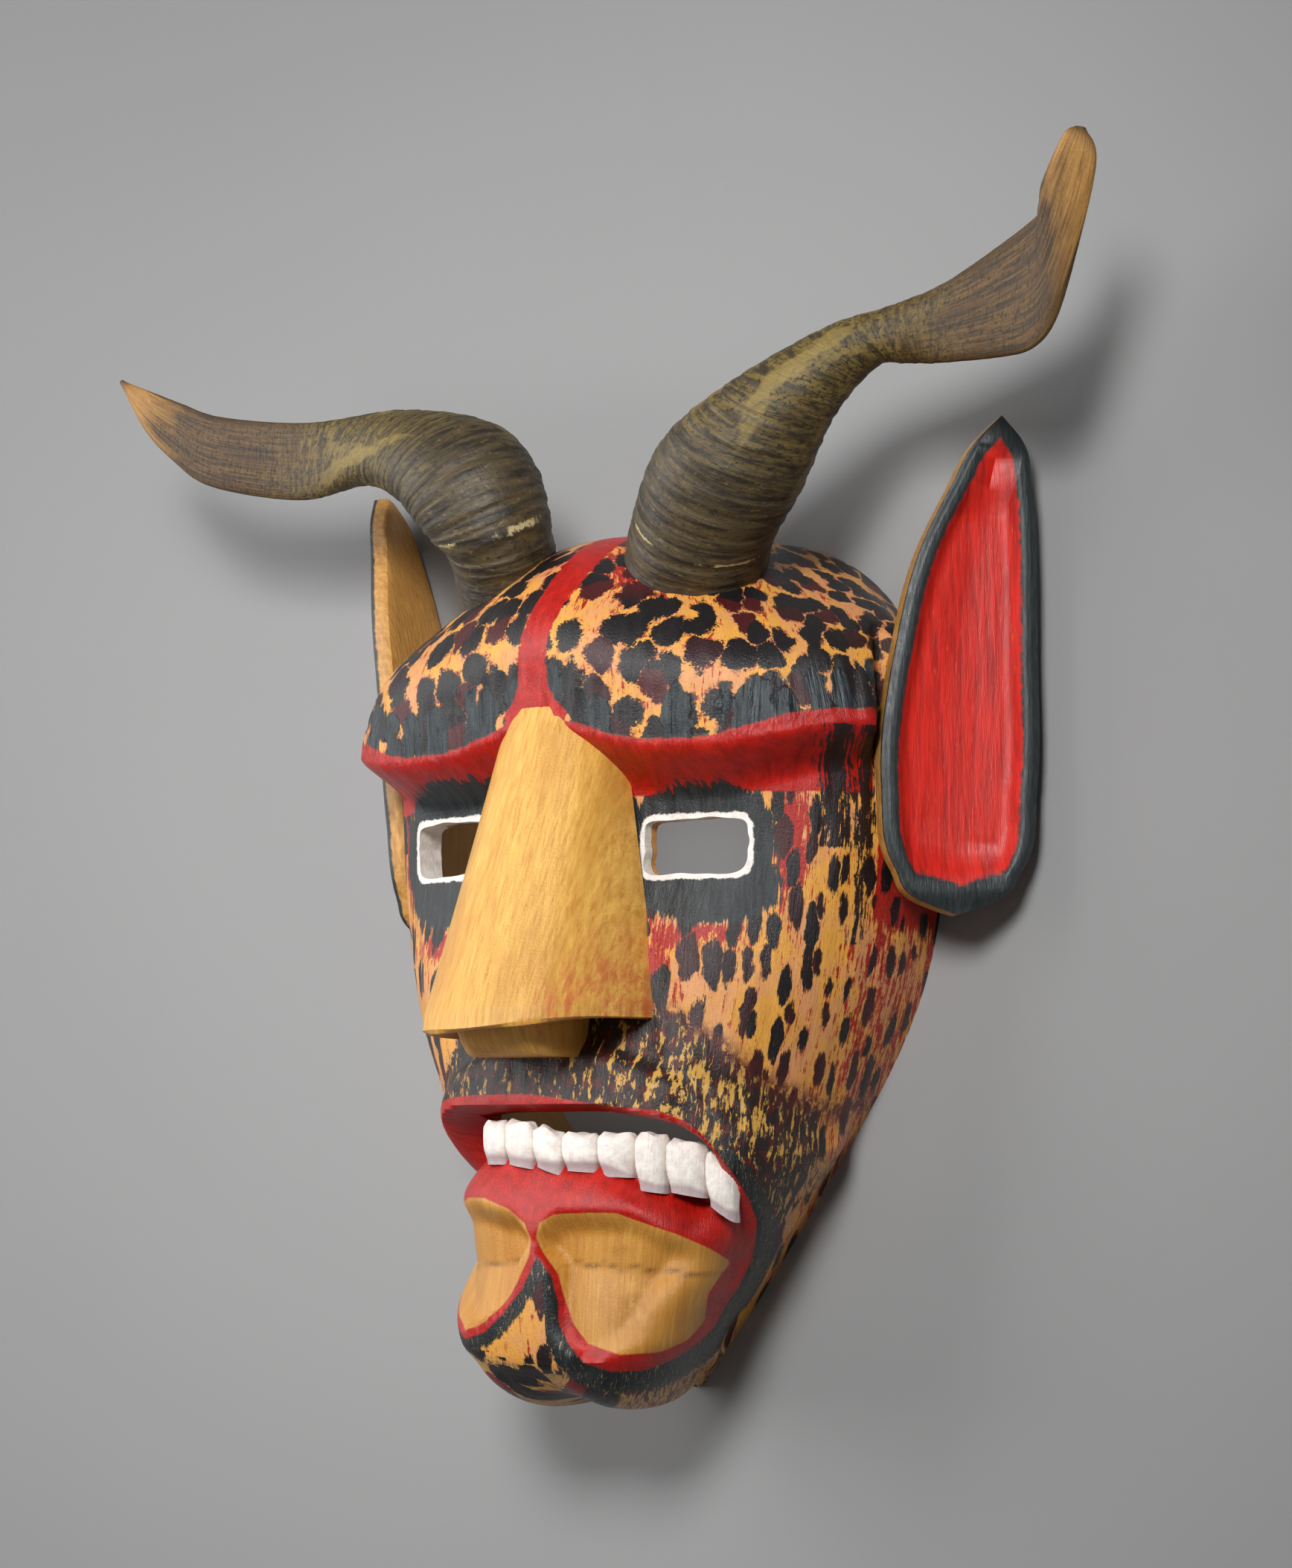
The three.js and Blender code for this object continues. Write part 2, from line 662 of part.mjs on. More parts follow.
function horn(stations, head) {
  const last = stations.length - 1;
  const places = stations.map((_, i) => i);
  const columns = stations[0].map((_, k) => stations.map((station) => station[k]));
  const value = (k, t) => along(columns[k], t, places);
  const rightEdge = (t) => new THREE.Vector3(value(0, t), value(1, t), value(2, t));
  const leftEdge = (t) => new THREE.Vector3(value(3, t), value(4, t), value(5, t));
  const centre = (t) => rightEdge(t).lerp(leftEdge(t), 0.5);
  const steps = last * 2;
  const points = [];
  const loops = [];
  for (let j = 0; j <= steps; j += 1) {
    const t = j / 2;
    const ahead = centre(Math.min(t + 0.2, last)).sub(centre(Math.max(t - 0.2, 0)));
    const a = leftEdge(t).sub(rightEdge(t)).multiplyScalar(0.5);
    const b = new THREE.Vector3().crossVectors(ahead, a).setLength(value(6, t));
    const loop = [];
    for (let i = 0; i < HORN_SIDES; i += 1) {
      const angle = (2 * Math.PI * i) / HORN_SIDES;
      const q = centre(t).addScaledVector(a, Math.cos(angle)).addScaledVector(b, Math.sin(angle));
      loop.push(points.push(q.toArray()) - 1);
    }
    loops.push(loop);
  }
  const tris = [];
  for (let j = 0; j < steps; j += 1) {
    for (let i = 0; i < HORN_SIDES; i += 1) {
      const k = (i + 1) % HORN_SIDES;
      tris.push(loops[j][i], loops[j][k], loops[j + 1][k]);
      tris.push(loops[j][i], loops[j + 1][k], loops[j + 1][i]);
    }
  }
  const ends = [[loops[0], centre(0), true], [loops[steps], centre(last), false]];
  for (const [loop, middle, flip] of ends) {
    const hub = points.push(middle.toArray()) - 1;
    for (let i = 0; i < HORN_SIDES; i += 1) {
      const k = (i + 1) % HORN_SIDES;
      tris.push(...(flip ? [hub, loop[k], loop[i]] : [hub, loop[i], loop[k]]));
    }
  }
  return solidFrom(points, tris).subtract(head);
}

const rows = faceRows();
const head = domeSolid(grown(rows, GAP));
const parts = new THREE.Group();
parts.add(meshFrom(makeFace(rows), 'mask_face', COLOURS.paintedWood, 0.45));
parts.add(meshFrom(earBoard(LEFT_EAR, head), 'left_ear', COLOURS.ear, 0.5));
parts.add(meshFrom(earBoard(RIGHT_EAR, head), 'right_ear', COLOURS.ear, 0.5));
parts.add(meshFrom(horn(LEFT_HORN, head), 'left_horn', COLOURS.horn, 0.4));
parts.add(meshFrom(horn(RIGHT_HORN, head), 'right_horn', COLOURS.horn, 0.4));

// The origin is on the floor, under the middle of the whole mask
const middle = new THREE.Box3().setFromObject(parts).getCenter(new THREE.Vector3());
parts.position.set(-middle.x, -middle.y, 0);

export default parts;
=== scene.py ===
import math

import bpy
import numpy as np
from mathutils import Matrix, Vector
from mathutils.kdtree import KDTree


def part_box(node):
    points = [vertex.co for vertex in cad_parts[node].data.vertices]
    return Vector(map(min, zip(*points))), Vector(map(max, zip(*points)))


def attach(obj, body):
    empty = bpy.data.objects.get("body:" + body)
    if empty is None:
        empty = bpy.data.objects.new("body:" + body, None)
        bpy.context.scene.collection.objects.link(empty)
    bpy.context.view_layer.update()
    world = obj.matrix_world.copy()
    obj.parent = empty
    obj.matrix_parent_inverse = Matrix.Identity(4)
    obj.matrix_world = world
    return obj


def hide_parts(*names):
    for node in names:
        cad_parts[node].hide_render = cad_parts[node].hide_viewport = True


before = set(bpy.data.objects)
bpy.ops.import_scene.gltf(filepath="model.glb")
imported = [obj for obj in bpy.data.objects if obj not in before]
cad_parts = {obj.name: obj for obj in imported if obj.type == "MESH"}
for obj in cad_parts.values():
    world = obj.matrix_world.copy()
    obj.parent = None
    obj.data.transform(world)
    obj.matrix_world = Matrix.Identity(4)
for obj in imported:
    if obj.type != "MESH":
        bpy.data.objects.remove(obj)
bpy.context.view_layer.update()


# The carved face
# One block of light wood, hewn to a long devil's face and hollowed behind for the wearer. The brow,
# sockets, lips, teeth and chin are carved in it, the eye holes and the gap over the teeth are cut
# right through, and the whole front is painted by hand over bare honey-coloured wood.

CHIN_Y, CROWN_Y = -68.0, 186.0
FACE_STATIONS = [-68, -50, -25, 0, 25, 50, 75, 100, 125, 150, 186]
HALF_WIDTH = [14, 29, 44, 57, 70, 80, 86, 88, 89, 89, 86]
FACE_DEPTH = [86, 86, 84, 82, 78, 73, 70, 68, 70, 74, 74]
JAW_FLARE = [32, 28, 18, 8, 0, 0, 0, 0, 0, 0, 0]
SQUARENESS = [3.6, 3.6, 3.2, 2.8, 2.6, 2.6, 2.8, 3.1, 3.0, 2.3, 1.8]
ROWS, COLUMNS, INNER_COLUMNS = 280, 228, 34
BROW_Y, BROW_OUT, SOCKET_IN, CHEEK_OUT = 126.0, 14, 4, 3
MUZZLE_OUT, FOLD_OUT, CHIN_OUT = 3, 2.2, 5
GOUGE_DEPTH, CHIP_HEIGHT = 0.9, 0.22
MOUTH_Y, MOUTH_UP, MOUTH_DOWN_LEFT, MOUTH_DOWN_RIGHT = -8, 24.0, 54.0, 52.0
MOUTH_LEFT_HALF, MOUTH_RIGHT_HALF, MOUTH_DRAWN_IN = 54.5, 48.0, 13
RIDGE_TOP_Y = -26
# Each eye hole's nearer and further edge from the middle, and its lower and upper edge
LEFT_EYE, RIGHT_EYE = (26, 57, 81, 97), (27, 63, 84, 100)
# Where the left ear's board stands, because the brow's end gives way to it
LEFT_EAR_X, LEFT_EAR_Z, LEFT_EAR_THICK = 91.0, 41.0, 11.0
DIAGONAL = math.sqrt(0.5)

face_low, face_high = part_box("mask_face")
# All sizes below are in millimetres with y = 0 just under the upper lip; this puts them in the frame
ORIGIN = np.array([(face_low.x + face_high.x) / 2, face_high.y - CROWN_Y / 1000, 0.0])


def smooth(a, b, x):
    """0 below a, 1 above b, an S-curve between."""
    t = np.clip((x - a) / (b - a), 0, 1)
    return t * t * (3 - 2 * t)


def bump(x, centre, spread):
    """A bell of height 1 at centre: exp(-((x - centre) / spread)^2)."""
    return np.exp(-(((x - centre) / spread) ** 2))


def along(values, x, places):
    """A smooth curve through values at places: a cubic with the slopes of the neighbours."""
    v = np.asarray(values, float)
    p = np.asarray(places, float)
    slope = np.gradient(v, p)
    i = np.clip(np.searchsorted(p, x) - 1, 0, len(p) - 2)
    h = p[i + 1] - p[i]
    t = np.clip((x - p[i]) / h, 0, 1)
    rise = t * t * (3 - 2 * t)
    return (
        (1 - rise) * v[i]
        + rise * v[i + 1]
        + t * (1 - t) ** 2 * h * slope[i]
        - t**2 * (1 - t) * h * slope[i + 1]
    )


def square_round(power, angle):
    """Radius of a superellipse: (|cos|^p + |sin|^p)^(-1/p)."""
    return (np.abs(np.cos(angle)) ** power + np.abs(np.sin(angle)) ** power) ** (-1 / power)


def spaced(count, low, high, weight):
    """count positions from low to high, closer together where weight is large."""
    t = np.linspace(low, high, 4001)
    w = weight(t)
    total = np.concatenate([[0], np.cumsum((w[1:] + w[:-1]) / 2)])
    return np.interp(np.linspace(0, total[-1], count), total, t)


def plain_face(across, up, side=0.0, front=None, end=0.0, flare_share=1.0):
    """The uncarved block. A slice at height y is an arch x = c (w + f s), z = d s, where c and s are
    the superellipse's cosine and sine of across, and w, d, f come from the stations; up closes the
    slices at chin and crown the same way. side, front and end thin it to the hollow's surface."""
    middle = (CHIN_Y + CROWN_Y) / 2
    half = (CROWN_Y - CHIN_Y) / 2 - end
    reach = square_round(np.where(up > 0, 5.0, 6.5), up)
    lift = reach * np.sin(up)
    closing = reach * np.cos(up)
    y = middle + half * lift
    rim_power = np.where(up > 0, 3.3, 2.1)
    rim_closing = np.clip(1 - np.abs(lift) ** rim_power, 0, 1) ** (1 / rim_power)
    width = (along(HALF_WIDTH, y, FACE_STATIONS) - side) * rim_closing
    thin = 0.0 if front is None else front(y)
    depth = (along(FACE_DEPTH, y, FACE_STATIONS) - thin) * closing
    r = square_round(along(SQUARENESS, y, FACE_STATIONS), across)
    c = -r * np.cos(across)
    s = r * np.sin(across)
    pulled = np.where(c > 0, 10 * bump(y, -8, 28), -6 * bump(y, -2, 20))
    flare = (along(JAW_FLARE, y, FACE_STATIONS) + pulled) * closing * flare_share
    sag = 0.0 if end else 8 * s * closing * (1 - smooth(-68, -20, y))
    return c * (width + flare * s), y - sag, depth * s, c, s, closing


def brow_line(x):
    """The brow's lower edge: it dips beside the nose and lifts at the temples."""
    return BROW_Y - 8 * smooth(0, 38, np.abs(x)) + 8 * smooth(50, 88, np.abs(x))


def lip_line(x):
    """The lower edge of the lower lip, with a point over the chin's ridge."""
    return -13.5 - 7 * bump(x, 0.5, 5) - 9.5 * smooth(28, 47, x) + 2.5 * smooth(10, 24, -x)


def teeth_foot(x):
    """Where the teeth meet the lower lip: it falls towards the pulled corner."""
    return 0.5 - 2 * smooth(-16, 8, x) - 6.5 * smooth(18, 38, x) - 8 * smooth(42, 56, x)


def teeth_top(x):
    """The biting edge of the teeth."""
    return 11.3 - 4.3 * smooth(-10, 14, x) - 3 * smooth(30, 46, x) - 9 * smooth(44, 58, x)


def inside_mouth(x, y):
    """Distance inside the mouth's outer border: half a superellipse above and another below, both
    wider on the left, where the mouth is pulled out, and drawn in there towards the chin."""
    above = y > MOUTH_Y
    power = np.where(above, np.where(x > 0, 3.0, 5.0), np.where(x > 0, 3.2, 2.0))
    reach = np.where(above, MOUTH_UP, np.where(x > 0, MOUTH_DOWN_LEFT, MOUTH_DOWN_RIGHT))
    half = np.where(x > 0, MOUTH_LEFT_HALF - MOUTH_DRAWN_IN * smooth(12, 42, -y), MOUTH_RIGHT_HALF)
    rho = ((np.abs(x) / half) ** power + (np.abs(y - MOUTH_Y) / reach) ** power) ** (1 / power)
    return (1 - rho) * 30


def nearest(points, others):
    """For each point, the number and the distance of the nearest of the others."""
    tree = KDTree(len(others))
    for number, other in enumerate(others.tolist()):
        tree.insert(other, number)
    tree.balance()
    return np.array([tree.find(point)[1:] for point in points.tolist()]).T


def outline_distance(outline, x, y):
    """Distance inside a closed outline, negative outside it."""
    corners = np.array(outline, float)
    inside = np.zeros(x.shape, bool)
    gap = np.full(x.shape, 1e9)
    for (ax, ay), (bx, by) in zip(corners, np.roll(corners, -1, axis=0)):
        crosses = ((ay > y) != (by > y)) & (x < (bx - ax) * (y - ay) / (by - ay + 1e-12) + ax)
        inside ^= crosses
        t = np.clip(((x - ax) * (bx - ax) + (y - ay) * (by - ay)) / ((bx - ax) ** 2 + (by - ay) ** 2), 0, 1)
        gap = np.minimum(gap, np.hypot(x - ax - t * (bx - ax), y - ay - t * (by - ay)))
    return np.where(inside, gap, -gap)


# The outer edge of the red round the mouth's left half, in slanted() and y
MOUTH_LEFT = [
    (-60, 15), (-19, 14.5), (-10.5, 13.5), (-4, 11), (1.5, 7), (6, 1), (11, -5.5), (14.5, -11.5),
    (16.8, -17), (16.6, -23), (15, -30), (11.6, -36.5), (8, -41.6), (4.6, -48), (-0.5, -52.5),
    (-6, -56), (-14.5, -59), (-24.5, -59.5), (-32, -57), (-36.7, -51.7), (-39.4, -46), (-39.4, -38),
    (-41.3, -30.5), (-44.4, -26.4), (-60, -26),
]
COSINE_34, SINE_34 = 0.829, 0.559


def slanted(x, z):
    """Distance across the mask as it's seen 34 degrees from its left: x cos 34 - z sin 34. The left
    half's outlines are drawn in it, because the jaw's side turns away from the front there."""
    return COSINE_34 * x - SINE_34 * z


def beside_ridge(x, y):
    """Distance from the chin's pointed ridge, which widens downwards as a high power of t."""
    left = np.clip((RIDGE_TOP_Y - y) / 32, 0, 1.1)
    right = np.clip((RIDGE_TOP_Y - y) / 24, 0, 1.3)
    left_wedge = x - 5 * np.sqrt(np.clip(6 * left, 0, 1)) - 20 * left**10
    right_wedge = -x - 3 * np.sqrt(np.clip(6 * right, 0, 1)) - 26 * right**3.5
    from_top = np.hypot(x, y - RIDGE_TOP_Y)
    return np.where(y >= RIDGE_TOP_Y, from_top, np.where(x > 0, left_wedge, right_wedge))


def mouth_recess(x, y):
    """Depth of the mouth's carving: teeth set back, a full lower lip, a hollow each side below it."""
    inside = inside_mouth(x, y)
    foot = teeth_foot(x)
    lip = lip_line(x)
    side = (x / np.where(x > 0, 47.0, 42.0)) ** 2
    teeth_back = 6.5 + 9 * side
    crest = 0.8 + 4.5 * side
    q = np.clip((foot - y) / np.maximum(foot - lip, 4), 0, 1)
    on_lip = crest + (teeth_back - crest) * (1 - q) ** 1.7
    crease = -30 - 3 * smooth(10, 45, x)
    floor = 8.5 - 0.22 * np.clip(crease - y, 0, 30) - 0.12 * np.clip(y - crease, 0, 30)
    below = crest + (floor - crest) * smooth(0, 8, lip - y)
    recess = np.where(y > foot, teeth_back, np.where(y > lip, on_lip, below))
    recess = recess * np.where(y < lip + 2, smooth(0, 6, beside_ridge(x, y)), 1.0)
    return recess * smooth(0, 1, inside / np.where(y > MOUTH_Y, 2.5, 5.0))


def ripple(x, y, seed):
    """Uneven waves of about unit height: a sum of sines whose phases come from the seed."""
    rng = np.random.default_rng(seed)
    out = np.zeros(np.broadcast(x, y).shape)
    for turn, phase, size in rng.uniform([-0.5, 0, 0.6], [0.5, 6.28, 1.7], (6, 3)):
        out += np.sin(size * (x * np.cos(turn) + y * np.sin(turn)) + phase)
    return out / 3


def carved_face(across, up):
    """The block with brow, sockets, cheeks, muzzle, mouth, chin and the gouge's marks cut along the
    slice's outward direction."""
    x, y, z, c, s, closing = plain_face(across, up)
    nx = np.sign(c) * c * c
    nz = s * s
    length = np.hypot(nx, nz) + 1e-9
    nx, nz = nx / length, nz / length
    front = smooth(0, 0.25, s)
    wide = np.abs(x)
    over = y - brow_line(x)
    from_muzzle = np.hypot(x / np.where(x > 0, 65, 60), (y + 14) / 48)
    from_corner = np.hypot((x - 46) * 0.9, (y - 8) * 0.5)
    f = smooth(-15, 0, over) * (1 - smooth(20, 62, over)) * BROW_OUT * smooth(0, 0.35, s) * closing
    f = f - SOCKET_IN * bump(wide, 44, 24) * bump(y, 92, 22) * front
    f += CHEEK_OUT * bump(wide, 48, 20) * bump(y, 50, 25) * front
    f += MUZZLE_OUT * (1 - smooth(0.92, 1.04, from_muzzle)) * front
    f += CHIN_OUT * bump(wide, 36, 14) * bump(y, -66, 12) * front
    in_red = smooth(0.5, 4.5, outline_distance(MOUTH_LEFT, slanted(x, z), y))
    f -= mouth_recess(x, y) * front * (1 - smooth(18, 32, x) * (1 - in_red))
    f += FOLD_OUT * bump(from_corner, 10, 5) * smooth(24, 38, x) * smooth(-12, 0, y) * front
    sideways = x + np.sign(x) * np.clip(72 - z, 0, 80)
    gouges = np.abs(np.sin(sideways * 0.62 + 0.8 * np.sin(sideways * 0.21))) ** 0.7
    f -= GOUGE_DEPTH * gouges * smooth(-3, 1, over) * (1 - smooth(12, 19, over)) * smooth(0.1, 0.4, s)
    chips = ripple(sideways * 0.35, y * 0.35, 4) + 0.6 * ripple(sideways * 0.8, y * 0.5, 9)
    painted = 1 - smooth(-4, 0, inside_mouth(x, y))
    f += CHIP_HEIGHT * chips * front * closing * painted
    y = y + 4 * bump(x, 0, 8) * (1 - smooth(-74, -58, y)) * front
    x, z = x + nx * f, z + nz * f
    proud = ((x - LEFT_EAR_X) + (z - LEFT_EAR_Z)) * DIAGONAL + (LEFT_EAR_THICK + 0.3)
    along_ear = ((x - LEFT_EAR_X) - (z - LEFT_EAR_Z)) * DIAGONAL
    by_ear = smooth(-2.5, 0.5, along_ear) * smooth(66, 74, y) * (x > 0)
    behind = np.maximum(proud, 0) * by_ear * DIAGONAL
    return x - behind, y, z - behind


def grid_faces(index):
    """Quads over a grid of point numbers, row by row."""
    return np.stack([index[:-1, :-1], index[:-1, 1:], index[1:, 1:], index[1:, :-1]], -1).reshape(-1, 4)


def numbered(grid):
    """The number of every point of a grid, in its rows and columns."""
    return np.arange(grid.shape[0] * grid.shape[1]).reshape(grid.shape[:2])


def tidy_mesh(name, points, quads):
    """A mesh from points in millimetres: coincident points are run together, so that poles and
    seams close, and faces that collapse are dropped."""
    spots, index = np.unique(np.round(points, 3), axis=0, return_inverse=True)
    faces = index.reshape(-1)[quads]
    same = [faces[:, k] == faces[:, (k + 1) % 4] for k in range(4)]
    whole = faces[~(same[0] | same[1] | same[2] | same[3])]
    thin = [faces[same[k] & (sum(s.astype(int) for s in same) == 1)] for k in range(4)]
    corners = [np.delete(t, k, axis=1) for k, t in enumerate(thin)]
    mesh = bpy.data.meshes.new(name)
    mesh.from_pydata(
        (spots / 1000 + ORIGIN).tolist(), [], whole.tolist() + [t for c in corners for t in c.tolist()]
    )
    mesh.validate()
    mesh.update()
    return mesh


def piece(name, data):
    """An object for a finished mesh, a lamp or the camera, at the origin."""
    made = bpy.data.objects.new(name, data)
    bpy.context.scene.collection.objects.link(made)
    return made


def sheet(name, grid):
    """An object for a grid of points in millimetres."""
    return piece(name, tidy_mesh(name, grid.reshape(-1, 3), grid_faces(numbered(grid))))


def shade(mesh, degrees):
    """Smooth shading that breaks where faces meet at more than the angle."""
    mesh.polygons.foreach_set("use_smooth", np.ones(len(mesh.polygons), bool))
    mesh.set_sharp_from_angle(angle=math.radians(degrees))


def wall_at(y):
    """Thickness of the wood behind the face's surface: thinner at the eyes, thicker in the jaw."""
    return 12 - 4 * bump(y, 88, 30) + 4 * (1 - smooth(0, 50, y))


def row_weight(up):
    """Rows stand closer together over the mouth and the brow's edge."""
    y = plain_face(QUARTER_TURN, up)[1]
    return 1 + 1.5 * bump(y, -12, 36) + 1.2 * bump(y, 119, 12)


QUARTER_TURN = math.pi / 2
ups = spaced(ROWS, -QUARTER_TURN, QUARTER_TURN, row_weight)
acrosses = spaced(COLUMNS, 0, math.pi, lambda a: 1 + 1.1 * bump(a, QUARTER_TURN, 0.75))
A, U = np.meshgrid(acrosses, ups)
outer = np.stack(carved_face(A, U), -1)
A, U = np.meshgrid(np.linspace(0, math.pi, INNER_COLUMNS), ups)
inner = np.stack(plain_face(A, U, 11, wall_at, 11, 0.4)[:3], -1)
inner[..., 2] = np.maximum(inner[..., 2], 0)
outer[:, [0, -1], 2] = 0
outer_index = numbered(outer)
inner_index = numbered(inner) + ROWS * COLUMNS
quads = np.concatenate([
    grid_faces(outer_index),
    grid_faces(inner_index[:, ::-1]),
    grid_faces(np.stack([inner_index[:, 0], outer_index[:, 0]], 1)),
    grid_faces(np.stack([outer_index[:, -1], inner_index[:, -1]], 1)),
])
skins = np.concatenate([outer.reshape(-1, 3), inner.reshape(-1, 3)])
face = piece("painted_face", tidy_mesh("painted_face", skins, quads))


def hole_cutter(name, edge, low, high, levels=20):
    """A closed bar over an outline, from z = low to z = high, in levels so that the walls it leaves
    have points of their own to carry paint."""
    count = len(edge)
    heights = np.linspace(low, high, levels)
    loops = np.concatenate([np.column_stack([edge, np.full(count, z)]) for z in heights])
    index = np.arange(count * levels).reshape(levels, count)
    sides = grid_faces(np.concatenate([index, index[:, :1]], 1))
    mesh = bpy.data.meshes.new(name)
    mesh.from_pydata(
        (loops / 1000 + ORIGIN).tolist(), [], sides.tolist() + [index[0, ::-1].tolist(), index[-1].tolist()]
    )
    return piece(name, mesh)


def eye_edge(side, inner_x, outer_x, low_y, high_y):
    """A knife-cut oblong with rounded corners, a little uneven."""
    t = np.linspace(0, 2 * math.pi, 97)[:-1]
    r = square_round(7.0, t)
    x = (inner_x + outer_x) / 2 + (outer_x - inner_x) / 2 * r * np.cos(t)
    y = (low_y + high_y) / 2 + (high_y - low_y) / 2 * r * np.sin(t)
    uneven = 0.25 * np.sin(5 * t + 1) + 0.15 * np.sin(11 * t)
    edge = np.stack([side * (x + uneven * np.cos(t)), y + uneven * np.sin(t)], 1)
    return edge if side > 0 else edge[::-1]


# The gap between the teeth and the upper lip, along the teeth and back under the lip
GAP_RIGHT, GAP_LEFT, GAP_UP, GAP_LEFT_HALF, GAP_RIGHT_HALF = -33, 51.5, 21.8, 53.0, 46.0
gap_x = np.linspace(GAP_RIGHT, GAP_LEFT, 80)
back_x = gap_x[::-1]
lip_power = np.where(back_x > 0, 3.0, 5.0)
gap_half = np.where(back_x > 0, GAP_LEFT_HALF, GAP_RIGHT_HALF)
arch = (1 - (np.abs(back_x) / gap_half) ** lip_power) ** (1 / lip_power)
gap_low = np.stack([gap_x, teeth_top(gap_x) - 4], 1)
gap_edge = np.concatenate([gap_low, np.stack([back_x, MOUTH_Y + GAP_UP * arch], 1)])
CUT_FROM, CUT_TO = 20, 100
cutters = [
    hole_cutter("left_eye_cut", eye_edge(1, *LEFT_EYE), CUT_FROM, CUT_TO),
    hole_cutter("right_eye_cut", eye_edge(-1, *RIGHT_EYE), CUT_FROM, CUT_TO),
    hole_cutter("mouth_cut", gap_edge, CUT_FROM - 5, CUT_TO),
]


def cut_away(made, cutters):
    """Takes the cutters' shapes out of an object's mesh."""
    for cutter in cutters:
        cut = made.modifiers.new(cutter.name, "BOOLEAN")
        cut.object = cutter
        cut.solver = "EXACT"
    bpy.context.view_layer.update()
    graph = bpy.context.evaluated_depsgraph_get()
    made.data = bpy.data.meshes.new_from_object(made.evaluated_get(graph))
    made.modifiers.clear()


cut_away(face, cutters)
for cutter in cutters:
    bpy.data.objects.remove(cutter)

# The nose, the block under it and the teeth stand up from the same wood
NOSE_ROOT_Y, NOSE_LENGTH, NOSE_HALF = 126.0, 90.0, 19
NOSE_WIDENS_LEFT, NOSE_WIDENS_RIGHT = 16, 12.5
NOSE_RIDGE_Z, NOSE_RISE, NOSE_FOOT_Z = 85, 39, 66
T, V = np.meshgrid(np.linspace(0, 1, 90), np.linspace(0, 1, 70))
nose_t = -0.04 + 1.04 * V
nose_angle = math.pi * (1 - T)
nose_half = NOSE_HALF + np.where(T > 0.5, NOSE_WIDENS_LEFT, NOSE_WIDENS_RIGHT) * nose_t
nose_ridge = NOSE_RIDGE_Z + NOSE_RISE * nose_t
nose_foot = NOSE_FOOT_Z + 4 * nose_t
facet = 1 - 0.012 * np.sin(6 * nose_angle + 0.7) - 0.02 * smooth(0.93, 1, V) ** 2
nose_x = nose_half * np.cos(nose_angle) * facet
nose_y = NOSE_ROOT_Y - NOSE_LENGTH * nose_t + 4 * smooth(0, 35, nose_x) * np.maximum(nose_t, 0) ** 4
nose_z = nose_foot + (nose_ridge - nose_foot) * np.sin(nose_angle) * facet
nose = np.stack([nose_x, nose_y, nose_z], -1)
UNDERSIDE_Z = 72.0
underside = []
for share, lift in ((0.985, -0.7), (0.95, -0.9), (0.86, 0.2), (0.7, 1.8), (0.4, 3.2), (0.0, 3.6)):
    ring = nose[-1].copy()
    ring[:, 0] = ring[:, 0] * share
    ring[:, 2] = UNDERSIDE_Z + (ring[:, 2] - UNDERSIDE_Z) * share
    ring[:, 1] = ring[:, 1] + lift + 0.5 * np.sin(ring[:, 0] * 0.25) * share
    underside.append(ring)
nose = np.concatenate([nose, np.stack(underside)])
nose_object = sheet("nose", nose[::-1])


def rounded_block(name, loops):
    """A closed skin over a stack of equal loops of points, closed by a point at each end."""
    first, last = (np.tile(loop.mean(0), (len(loop), 1)) for loop in (loops[0], loops[-1]))
    stack = np.concatenate([[first], loops, [last]])
    return sheet(name, np.concatenate([stack, stack[:, :1]], 1))


# The block under the nose: rings of height, size and front
BLOCK_HALF, BLOCK_BACK_Z = 13, 64
BLOCK_RINGS = ((40, 1.0, 108), (33, 1.0, 104), (30, 1.0, 101), (29, 0.97, 99.5))
around = np.linspace(0, 2 * math.pi, 33)[:-1]
block_loops = []
for y, size, front_z in BLOCK_RINGS:
    r = square_round(8.0, around)
    x = BLOCK_HALF * size * r * np.cos(around)
    z = (front_z + BLOCK_BACK_Z) / 2 + (front_z - BLOCK_BACK_Z) / 2 * size * r * np.sin(around)
    block_loops.append(np.stack([x, np.full_like(x, y), z], 1))
block_object = rounded_block("nose_block", np.array(block_loops))


TEETH_EDGES = [-23, -13, -2, 8, 19, 29.5, 37.5, 47, 54]
TOOTH_HALF_THICK, TEETH_Z, TEETH_MIDDLE = 3.4, 81.5, 2
teeth = []
tooth_rng = np.random.default_rng(11)
for right_edge, left_edge in zip(TEETH_EDGES, TEETH_EDGES[1:]):
    x0 = (right_edge + left_edge) / 2
    foot = teeth_foot(x0) - 2
    top = teeth_top(x0) + tooth_rng.uniform(-0.5, 0.7)
    z0 = TEETH_Z - 0.0075 * (x0 - TEETH_MIDDLE) ** 2
    lean = -0.015 * (x0 - TEETH_MIDDLE)
    slope = (teeth_top(x0 + 3) - teeth_top(x0 - 3)) / 6 + tooth_rng.uniform(-0.08, 0.08)
    half = (left_edge - right_edge - 0.4) / 2
    waist = tooth_rng.uniform(0.80, 0.90)
    loops = []
    for share in np.linspace(0, 1, 16):
        size = waist + (1 - waist) * smooth(0, 0.6, share) - 0.22 * smooth(0.86, 1.0, share) ** 2
        r = square_round(3.8, around)
        u = half * size * r * np.cos(around)
        d = TOOTH_HALF_THICK * size * r * np.sin(around) - 0.5 * np.abs(np.cos(around)) * np.sin(around)
        z = z0 - 1.6 + d + lean * u - 1.4 * (1 - smooth(0, 0.4, share)) - 0.8 * smooth(0.8, 1, share)
        chip = 0.5 * smooth(0.8, 1, share) * np.sin(3 * around + x0)
        loops.append(np.stack([x0 + u, foot + (top - foot) * share + slope * u + chip, z], 1))
    teeth.append(rounded_block("tooth", np.array(loops)[:, ::-1]))


